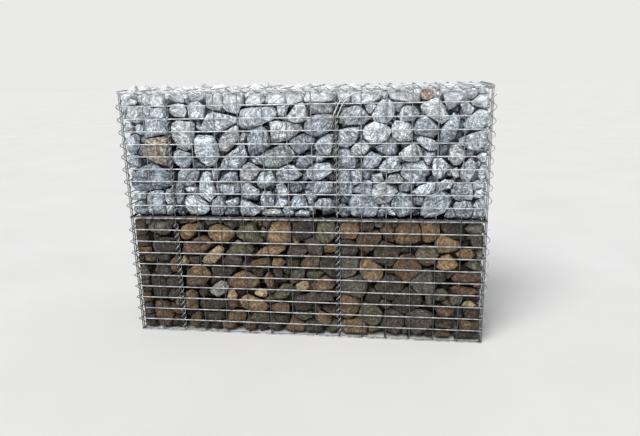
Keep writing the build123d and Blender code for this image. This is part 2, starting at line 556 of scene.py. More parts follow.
for number, (edge, height, outward, darkening) in enumerate(EDGES):
    turns = 2 * FACE_COLUMNS
    start = (column_x(0) + LID_SHIFT * LEVEL_PITCH * number, LEVEL_SEAT - DEPTH / 2, height)
    spiral(f"{edge}_front_spiral", start, (1, 0, 0), outward, LEVEL_RADIUS, LEVEL_PITCH, LEVEL_START,
           turns - FRONT_END, LEVEL_SEED + number, f"{edge}_front_binder", darkening=darkening)
    start = (column_x(FACE_COLUMNS), DEPTH / 2 - LEVEL_SEAT, height - BACK_DROP)
    spiral(f"{edge}_back_spiral", start, (-1, 0, 0), (0, 1, outward[2]), LEVEL_RADIUS, LEVEL_PITCH,
           LEVEL_START, turns - LEVEL_START, LEVEL_SEED + 10 + number, darkening=darkening)
    for end, to_x in (("left", -1), ("right", 1)):
        start = (to_x * (LENGTH / 2 - LEVEL_SEAT), -to_x * (DEPTH / 2 - WIRE / 2), height)
        spiral(f"{edge}_{end}_spiral", start, (0, to_x, 0), (to_x, 0, outward[2]), LEVEL_RADIUS, LEVEL_PITCH,
               LEVEL_START, 2 * DEPTH_COLUMNS - LEVEL_START, LEVEL_SEED + 20 + 2 * number + (to_x > 0),
               darkening=darkening)

# %% [markdown]
# Stone has two looks here. The upper tier is crushed grey rock with crisp facets, pale and bluish. The lower
# tier is brown rubble with softer edges, its colours darkened with painted shade as well. Each stone carries
# its own colour and its own number as attributes on its points, so one material serves a whole tier and no
# two stones look the same.

# %% Rock colours
# The brown colours of the lower tier hold painted shade as well as the rock's own colour.
ROCK = {
    "white": (240, 248, 253), "pale": (217, 229, 236), "cream": (213, 219, 221), "lilac": (196, 203, 214),
    "blue": (182, 194, 205), "grey": (185, 195, 203), "green": (181, 194, 200), "slate": (150, 161, 172),
    "olive": (164, 172, 173), "pink": (206, 206, 206), "dark": (103, 112, 120), "ochre": (170, 157, 138),
    "rust": (255, 212, 178), "tan": (148, 122, 90), "sand": (184, 161, 124), "brown": (104, 84, 62),
    "umber": (68, 59, 49), "red": (104, 80, 66), "moss": (98, 93, 73), "ash": (104, 100, 89),
    "plum": (84, 75, 68), "chalk": (170, 167, 160), "clay": (126, 102, 74)}

# %% Rock surfaces
PATCH_SCALE = 30.0
MOTTLE_SCALE = 95.0
GRIT_SCALE = 240.0
BAND_SCALE = 30.0
BAND_SQUEEZE = (1.0, 1.0, 6.0)
BAND_AXIS = (0.4, 0.8, 0.45)
VEIN_SCALE = 15.0
VEIN_COLOR = linear(232, 239, 245)
CRUST_SHARE = 0.75
STONE_SHIFT = (1.7, 2.9, 4.3)
RELIEF_STRENGTH = 0.8


def rock_material(name, contrast, vein_strength, relief, roughness):
    """Each stone's own colour, mottled at four scales, banded one way, and crossed by a few pale veins."""
    material, tree, shader, place = start_material(name)
    carried = attribute(tree, "rock_color")
    number = attribute(tree, "stone_number")["Fac"]
    own_place = node(tree, "ShaderNodeVectorMath", {"operation": "ADD"},
                     {0: place, 1: scaled(tree, STONE_SHIFT, number)}).outputs["Vector"]
    turned = node(tree, "ShaderNodeVectorRotate", {"rotation_type": "AXIS_ANGLE"},
                  {"Vector": own_place, "Axis": BAND_AXIS, "Angle": number})
    squeezed = node(tree, "ShaderNodeVectorMath", {"operation": "MULTIPLY"},
                    {0: turned.outputs["Vector"], 1: BAND_SQUEEZE})
    patches = noise(tree, own_place, PATCH_SCALE, 5.0)
    mottle = noise(tree, own_place, MOTTLE_SCALE, 4.0, 0.6)
    grit = noise(tree, own_place, GRIT_SCALE, 5.0, 0.65)
    bands = noise(tree, squeezed.outputs["Vector"], BAND_SCALE, 4.0, 0.6, 0.6)
    veins = noise(tree, own_place, VEIN_SCALE, 3.0, 0.5, 1.0)
    tone = spread(tree, patches, 0.38, 0.62, 1 - 0.7 * contrast, 1 + 0.5 * contrast)
    for layer, darker, lighter in ((mottle, 0.8, 0.7), (grit, 1.1, 0.9), (bands, 1.4, 1.1)):
        step = spread(tree, layer, 0.40, 0.62, 1 - darker * contrast, 1 + lighter * contrast)
        tone = combine(tree, "MULTIPLY", tone, step)
    calmed = blend(tree, carried["Alpha"], 1.0, tone, "FLOAT")
    line = ramp(tree, veins, [(0.484, 0.0), (0.497, vein_strength), (0.510, 0.0)])
    line = combine(tree, "MULTIPLY", line, spread(tree, patches, 0.50, 0.60, 0.0, 1.0))
    crust = spread(tree, mottle, 0.54, 0.66, 0.0, CRUST_SHARE * vein_strength)
    pale = combine(tree, "MAXIMUM", line, crust)
    coarse = bump(tree, mottle, relief, RELIEF_STRENGTH)
    set_inputs(tree, shader, {
        "Base Color": blend(tree, pale, scaled(tree, carried["Color"], calmed), (*VEIN_COLOR, 1)),
        "Normal": bump(tree, grit, relief * 0.5, RELIEF_STRENGTH, coarse),
        "Roughness": roughness})
    return material


GREY_ROCK = rock_material("grey_rock_surface", contrast=0.44, vein_strength=0.70, relief=0.0055,
                          roughness=0.82)
BROWN_ROCK = rock_material("brown_rubble_surface", contrast=0.31, vein_strength=0.10, relief=0.0040,
                           roughness=0.90)

# %% [markdown]
# The stones of the face were set out one by one. Each line gives the rock and then the corners of the
# outline:
# columns from the left end of the wall, and rows down from the top of the tier. Scattering stones at random
# would be quicker, but the large, pale and dark ones make the pattern that one knows this wall by.

# %% Outlines of the upper tier
UPPER_FACE = [
    ("white", .15, -.1, .35, -.5, .68, -.73, .85, -.6, .97, -.1, .97, .6, .65, .82, .3, .6),
    ("cream", .38, 1, 1.05, .95, 1.05, 2.1, .8, 2.3, .28, 2.1),
    ("white", 1.07, .2, 1.5, .15, 1.4, .85, 1.1, .9),
    ("pale", 1.45, .3, 1.62, .1, 1.98, .15, 1.98, .95, 1.42, .95),
    ("pale", 1.07, 1.05, 1.36, 1, 1.34, 1.9, 1.08, 1.95),
    ("pale", .12, .75, .3, .7, .34, 1.1, .22, 2, .12, 2),
    ("blue", 1.38, 1.15, 2.02, 1.05, 2.1, 1.75, 1.85, 1.95, 1.38, 1.9),
    ("pale", .15, 2.25, .4, 2.35, .58, 2.6, .55, 3.05, .15, 3.05),
    ("pale", .62, 2.6, .78, 2.4, .95, 2.5, .95, 3.2, .62, 3),
    ("blue", 1.08, 2.1, 1.45, 1.95, 1.65, 2.05, 2, 2.55, 2.05, 3.1, 1.6, 3.25, 1.05, 3.45),
    ("grey", 1.72, 2.05, 2.08, 2, 2.08, 2.45, 1.98, 2.5),
    ("blue", .15, 3.55, .6, 3.15, .78, 3.3, .75, 4, .55, 4.65, .3, 4.7, .15, 4.3),
    ("green", .12, 5.3, .3, 4.8, .68, 4.85, .68, 5.8, .15, 5.85),
    ("ochre", 1.05, 3.6, 1.9, 3.35, 1.98, 3.7, 1.98, 5.7, 1.75, 5.85, 1.3, 5.4, .88, 5.15, .85, 4.5),
    ("slate", .1, 6.85, .65, 5.9, 1.2, 5.5, 1.65, 5.9, 2.0, 6.4, 2.05, 7.3, 1.5, 7.6, .4, 7.8, .2, 7.4),
    ("grey", .82, 8.3, .95, 7.95, 1.3, 7.7, 1.6, 7.8, 1.62, 9.7, 1.05, 9.8, .85, 9.5),
    ("pale", 1.66, 8.1, 1.78, 7.65, 2, 7.6, 2.05, 8.8, 1.72, 8.8),
    ("grey", 1.67, 9.05, 2, 9, 2, 9.7, 1.7, 9.75),
    ("grey", 2.12, 7.2, 2.35, 7, 2.5, 7.4, 2.5, 8.3, 2.3, 8.85, 2.1, 8.7),
    ("dark", 2.15, 9.2, 2.42, 9.1, 2.5, 9.7, 2.2, 9.75),
    ("lilac", 2.15, .55, 2.3, .1, 2.55, -.25, 2.75, -.42, 2.95, -.2, 3.02, .3, 2.95, .75, 2.3, .7),
    ("pale", 2.25, .95, 2.55, .82, 2.8, .9, 2.9, 1.4, 2.8, 1.85, 2.35, 1.8, 2.15, 1.4),
    ("pale", 2.97, 1, 3.15, .68, 3.4, .65, 3.68, 1.1, 3.62, 1.95, 3, 2),
    ("lilac", 3.08, .2, 3.75, .02, 3.8, .25, 3.5, .58, 3.12, .6),
    ("pale", 3.75, .6, 3.95, .05, 4.42, .1, 4.46, .9, 4.35, 1.4, 3.78, 1.25),
    ("olive", 4.5, .15, 4.7, 0, 5.3, .1, 5.3, 1, 4.52, 1),
    ("grey", 4.4, 1.08, 5.2, 1.05, 5, 1.65, 4.6, 1.5),
    ("lilac", 3.45, 2.8, 3.72, 1.75, 4, 1.5, 4.5, 1.7, 4.95, 1.9, 4.95, 2.3, 4.35, 2.95, 3.5, 3),
    ("cream", 2.2, 2.4, 2.45, 2.15, 3.3, 2.3, 3.25, 2.7, 3.1, 3.6, 3.05, 4.2, 2.75, 4.55, 2.4, 4.2, 2.2,
     3.4),
    ("pale", 3.12, 3.6, 3.3, 3.3, 3.95, 3.35, 4.12, 4.1, 4.15, 5, 3.15, 5.05, 3.1, 4.2),
    ("olive", 3.25, 5.1, 4.1, 5.1, 3.95, 5.7, 3.6, 5.65),
    ("dark", 3.02, 5.15, 3.2, 5.3, 3.5, 5.75, 3.1, 5.85),
    ("blue", 2.2, 4.6, 2.45, 4.45, 2.95, 4.75, 2.98, 5.3, 2.8, 5.8, 2.45, 5.85, 2.2, 5.4),
    ("grey", 2.32, 6.4, 2.5, 5.98, 3.2, 5.95, 3.25, 6.3, 3.05, 7, 2.8, 7.35, 2.5, 7.2, 2.3, 6.8),
    ("pale", 2.62, 7.55, 2.8, 7.4, 3.1, 7.5, 3.1, 7.85, 2.75, 7.85),
    ("pale", 3.35, 6.35, 3.58, 6.12, 3.75, 6.35, 3.93, 8, 3.6, 8.65, 3.2, 8.1, 3.22, 7.2),
    ("blue", 3.8, 6.1, 4.15, 6.05, 4.05, 6.6, 3.88, 6.9),
    ("blue", 4.1, 5.95, 4.4, 5, 5, 4.2, 5.2, 4.05, 5.34, 4.9, 5.2, 5.5, 4.9, 5.9, 4.4, 6),
    ("pink", 4.15, 3.9, 4.4, 3.2, 4.85, 2.55, 5.02, 2.6, 5.05, 3.4, 4.85, 4, 4.5, 4.6, 4.2, 4.5),
    ("olive", 5.08, 3.4, 5.2, 3.1, 5.36, 3.3, 5.3, 3.55, 5.08, 3.85),
    ("slate", 4.05, 7, 4.2, 6.6, 4.6, 6.15, 4.85, 6.3, 4.9, 7.05),
    ("green", 4.08, 7.15, 4.95, 7.1, 4.95, 7.7, 4.7, 8, 4.15, 7.95),
    ("lilac", 3.68, 9, 3.75, 8.5, 4.05, 8.2, 4.25, 8.6, 4.3, 9.2, 4.1, 9.8, 3.7, 9.7),
    ("pale", 4.3, 8.6, 4.85, 8.3, 4.85, 8.8, 4.42, 8.95),
    ("dark", 4.38, 9.1, 4.8, 9.05, 4.85, 9.75, 4.2, 9.8),
    ("cream", 2.53, 8.5, 2.65, 8.15, 3.1, 8.15, 3.5, 8.8, 3.58, 9.3, 3.35, 9.7, 2.75, 9.7, 2.55, 9.2),
    ("white", 5, -.1, 5.15, -.45, 5.35, -.15, 5.4, .1),
    ("white", 5.55, -.1, 5.75, -.35, 5.95, -.1, 5.9, .1),
    ("white", 5.38, .75, 5.6, .3, 6, .15, 6.2, .65, 5.95, 1, 5.4, .98),
    ("pale", 6.22, .75, 6.3, .15, 7, .05, 7, .98, 6.35, .95),
    ("pale", 7.03, .05, 7.65, .05, 7.7, .7, 7.4, .92, 7.03, 1),
    ("green", 6.7, 1.1, 7.15, 1.05, 7, 1.6, 6.9, 1.85, 6.7, 1.8),
    ("blue", 5.05, 2.2, 5.15, 1.4, 5.6, 1.2, 6.5, 1.15, 6.65, 1.6, 6.5, 2.1, 5.9, 2.55, 5.25, 2.75, 5.05,
     2.5),
    ("cream", 7.05, 1.9, 7.4, 1.05, 7.7, .85, 7.85, 1.3, 7.9, 2.1, 7.5, 2.4, 7.1, 2.25),
    ("white", 7.75, .5, 7.95, .05, 8.95, 0, 8.98, .75, 8.3, .92, 7.8, .85),
    ("dark", 8, 1.05, 8.9, 1, 8.95, 1.6, 8.5, 1.7, 8.05, 1.7),
    ("slate", 7.75, 2.5, 8, 1.9, 8.5, 1.75, 8.88, 1.8, 8.92, 2.8, 8.6, 3.2, 8.1, 3.45, 7.75, 3.1),
    ("cream", 6.33, 2.3, 6.7, 2.2, 7.05, 2.35, 7.6, 2.5, 7.68, 2.9, 7.1, 3.65, 6.7, 3.85, 6.38, 3.85),
    ("slate", 5.38, 3.5, 5.6, 2.9, 5.95, 2.6, 6.15, 2.8, 6.33, 3.6, 6.3, 4.2, 5.95, 4.6, 5.5, 4.95, 5.38,
     4.5),
    ("slate", 7.1, 3.8, 7.4, 3.4, 7.75, 3.25, 8.15, 3.6, 8.05, 4.2, 7.55, 4.75, 7.38, 4.7, 7.12, 4.1),
    ("olive", 5.5, 5.2, 6, 4.75, 6.4, 4.1, 6.8, 3.95, 7.05, 4.05, 7.33, 4.8, 7.2, 5.3, 6.7, 5.75, 6.2,
     5.85),
    ("lilac", 8.12, 4.15, 8.3, 3.7, 8.65, 3.3, 8.88, 3.3, 8.88, 4.2, 8.75, 4.85, 8.35, 4.85, 8.15, 4.4),
    ("slate", 7.35, 5.6, 7.5, 5.05, 8, 4.8, 8.25, 5, 8, 5.45, 7.75, 5.9, 7.4, 5.95),
    ("blue", 6.52, 6.4, 6.6, 6.02, 7.05, 5.62, 7.25, 5.65, 7.6, 6.4, 7.35, 6.75, 7, 6.95, 6.6, 6.95),
    ("pink", 5, 6.3, 5.1, 5.8, 5.35, 5.45, 5.6, 5.6, 5.88, 6, 5.7, 6.5, 5.4, 6.9, 5.05, 6.8),
    ("green", 5.72, 6.8, 5.88, 6.3, 6.3, 6.1, 6.48, 6.8, 6.35, 7.2, 5.9, 7.55, 5.72, 7.3),
    ("pale", 7.78, 6.05, 8.15, 5.5, 8.7, 5.5, 8.85, 6, 8.75, 6.5, 8.4, 6.7, 8.2, 6.95, 7.8, 6.6),
    ("grey", 5, 7.2, 5.3, 7.1, 5.78, 7.7, 5.75, 8.1, 5.5, 8.4, 5.05, 8.3),
    ("blue", 5.82, 8.8, 5.82, 8.3, 5.95, 7.8, 6.25, 7.75, 6.4, 8.3, 6.35, 8.95, 5.95, 9),
    ("lilac", 4.95, 9, 5, 8.5, 5.3, 8.6, 5.78, 9.05, 5.75, 9.5, 5.4, 9.85, 4.95, 9.8),
    ("pink", 5.8, 9.85, 5.87, 9.4, 6.15, 9.2, 6.65, 9.25, 6.8, 9.7, 6.6, 9.9),
    ("grey", 6.5, 7.2, 6.8, 7.1, 7.05, 7.8, 6.9, 8.2, 6.6, 8),
    ("dark", 7.08, 7.1, 7.6, 7, 7.7, 7.5, 7.3, 7.85, 7.1, 7.7),
    ("grey", 7.9, 7.3, 8.2, 7, 8.85, 7.1, 8.8, 7.8, 8.1, 7.95),
    ("blue", 7.05, 8.7, 7.2, 8.2, 7.5, 8, 7.7, 8.3, 7.8, 9, 7.15, 9.1),
    ("green", 8.05, 8.7, 8.3, 8.3, 8.75, 8.35, 8.9, 8.9, 8.6, 9.3, 8.1, 9.1),
    ("pale", 7.25, 9.5, 7.5, 9.25, 7.85, 9.4, 7.85, 9.85, 7.3, 9.9),
    ("pale", 9.1, .3, 9.25, .05, 9.6, .1, 9.55, .85, 9.15, .9),
    ("pale", 9.65, .2, 10.3, .05, 10.78, .2, 10.75, .65, 10.4, .95, 10, 1.05, 9.65, .9),
    ("grey", 9.15, 1.9, 9.4, 1.3, 9.9, 1.15, 10.1, 1.4, 10.38, 2.1, 10.1, 2.55, 9.6, 2.6, 9.15, 2.4),
    ("grey", 10.15, 1.15, 10.45, 1, 10.6, 1.2, 10.4, 1.7, 10.3, 1.7),
    ("blue", 10.42, 1.9, 10.6, 1.25, 10.82, .75, 11.05, .7, 11.35, 1.3, 11.3, 1.9, 11.05, 2.5, 10.5, 2.3),
    ("grey", 11, .2, 11.15, .02, 11.9, .02, 12.22, .5, 12.28, .95, 12, 1, 11.15, .68),
    ("rust", 12.25, .3, 12.3, .0, 12.75, .02, 12.8, .5, 12.6, .85, 12.38, .7),
    ("cream", 12.84, .1, 13, .05, 13.06, .5, 12.86, .55),
    ("cream", 12.3, 1.2, 12.6, .85, 12.95, .62, 13.1, 1, 13.3, 1.75, 13.4, 2.1, 13.1, 2.6, 12.75, 2.2,
     12.35, 1.6),
    ("lilac", 13.12, .2, 13.3, .05, 13.75, .1, 13.95, .6, 13.9, 1, 13.6, 1.3, 13.45, 1.6, 13.28, 1.5),
    ("lilac", 13.78, 1.15, 14.05, 1, 14.3, 1.5, 14.2, 1.9, 13.95, 2),
    ("grey", 13.98, .25, 14.4, .1, 14.42, .45, 14.2, .8, 14.02, .6),
    ("pale", 14.18, 1, 14.5, .5, 14.75, .42, 14.9, 1, 14.98, 1.65, 14.8, 1.6, 14.45, 1.35, 14.22, 1.25),
    ("pale", 13.9, 2.65, 14.12, 2.05, 14.5, 1.55, 14.8, 1.65, 14.95, 2.1, 14.9, 2.6, 14.55, 2.95, 14.1,
     3.02),
    ("pale", 13.72, 3.7, 13.8, 3.25, 14.2, 3.12, 14.6, 3.1, 14.9, 2.9, 14.95, 3.5, 14.85, 4.1, 14.5, 4.55,
     14.15, 4.5, 13.8, 4),
    ("green", 11.48, 1.9, 11.6, 1.4, 11.8, 1.22, 12.08, 1.25, 12.25, 1.8, 12.05, 2.35, 11.55, 2.35),
    ("blue", 13.08, 3.1, 13.3, 2.45, 13.55, 1.75, 13.8, 2.15, 13.75, 2.8, 13.6, 3.6, 13.4, 3.95, 13.1,
     3.85),
    ("blue", 12.05, 2.9, 12.15, 2.4, 12.4, 1.98, 12.65, 2.15, 12.95, 2.75, 12.98, 3.3, 12.8, 3.55, 12.1,
     3.3),
    ("white", 10.05, 3.3, 10.15, 2.7, 10.55, 2.35, 11.1, 2.75, 11.2, 3, 11.05, 3.7, 10.75, 4, 10.4, 3.95,
     10.12, 3.6),
    ("cream", 11.22, 2.6, 11.35, 2.28, 11.75, 2.38, 11.95, 2.6, 11.98, 3.75, 11.5, 3.9, 11.22, 3.5),
    ("lilac", 12.15, 3.75, 12.3, 3.45, 12.7, 3.65, 12.98, 4, 12.95, 4.5, 12.65, 4.55, 12.38, 4.2),
    ("grey", 10.55, 4.25, 10.8, 4.1, 11.38, 4.1, 11.35, 4.75, 11.05, 4.85, 10.65, 4.5),
    ("cream", 11.48, 4.8, 11.75, 4.3, 12.05, 4.05, 12.3, 4.25, 12.4, 4.9, 12.2, 5.35, 11.85, 5.35, 11.52,
     5.1),
    ("cream", 9.6, 4.45, 9.75, 4.1, 10.08, 3.75, 10.38, 4.25, 10.1, 4.85, 9.65, 4.95),
    ("grey", 9.1, 3.6, 9.15, 2.9, 9.6, 2.8, 9.95, 2.7, 9.9, 3.4, 9.7, 4, 9.35, 4.4, 9.1, 4.1),
    ("pink", 13.42, 4.6, 13.5, 4.15, 13.8, 4.1, 13.98, 4.5, 14.05, 5.1, 13.85, 5.6, 13.6, 5.65, 13.42, 5.2),
    ("dark", 13.1, 4.2, 13.36, 4.2, 13.35, 4.75, 13.1, 4.85),
    ("pale", 14.72, 4.3, 15, 4.1, 15, 4.55, 14.8, 4.65),
    ("pale", 14.5, 5, 14.65, 4.72, 14.95, 4.85, 14.9, 5.35, 14.65, 5.45),
    ("blue", 10.05, 5.5, 10.12, 5, 10.4, 4.65, 10.78, 4.9, 10.82, 5.2, 10.65, 5.7, 10.3, 6, 10.05, 5.8),
    ("pale", 10.72, 5.85, 10.88, 5.4, 11.15, 5.02, 11.42, 5.05, 11.6, 5.8, 11.5, 6.1, 11.1, 6.25, 10.8,
     6.15),
    ("pale", 12.8, 5.6, 12.85, 5.15, 13.15, 5.15, 13.48, 5.75, 13.2, 6.5, 13, 6.75, 12.82, 6.3),
    ("grey", 13.88, 6, 13.98, 5.55, 14.3, 5.1, 14.48, 5.5, 14.43, 6.2, 14.25, 6.9, 14, 6.95, 13.88, 6.5),
    ("pink", 13.5, 6, 13.75, 5.85, 13.84, 6.5, 13.65, 6.65),
    ("pale", 14.56, 6.1, 14.68, 5.6, 14.85, 5.5, 14.98, 6.2, 14.98, 6.8, 14.7, 6.95, 14.56, 6.5),
    ("cream", 10.95, 6.85, 11.15, 6.4, 11.5, 6.4, 11.68, 6.8, 11.5, 7.05, 11.05, 7.05),
    ("pale", 11.98, 7.8, 12.3, 7.3, 12.7, 7, 12.95, 7, 12.9, 7.75, 12.5, 7.95),
    ("pale", 13, 7.1, 13.3, 6.75, 13.65, 6.8, 13.5, 7.4, 13.1, 7.6),
    ("slate", 12.05, 8.2, 12.5, 8.1, 12.4, 8.7, 12.15, 8.7),
    ("pale", 14.4, 8.8, 14.65, 8.15, 14.9, 8.2, 14.98, 8.7, 14.7, 9),
    ("green", 10.42, 6.4, 10.8, 6.25, 10.88, 6.8, 10.6, 7.05, 10.4, 6.8),
    ("pale", 9.6, 6.2, 9.95, 6, 10.05, 6.9, 9.7, 7.2)]

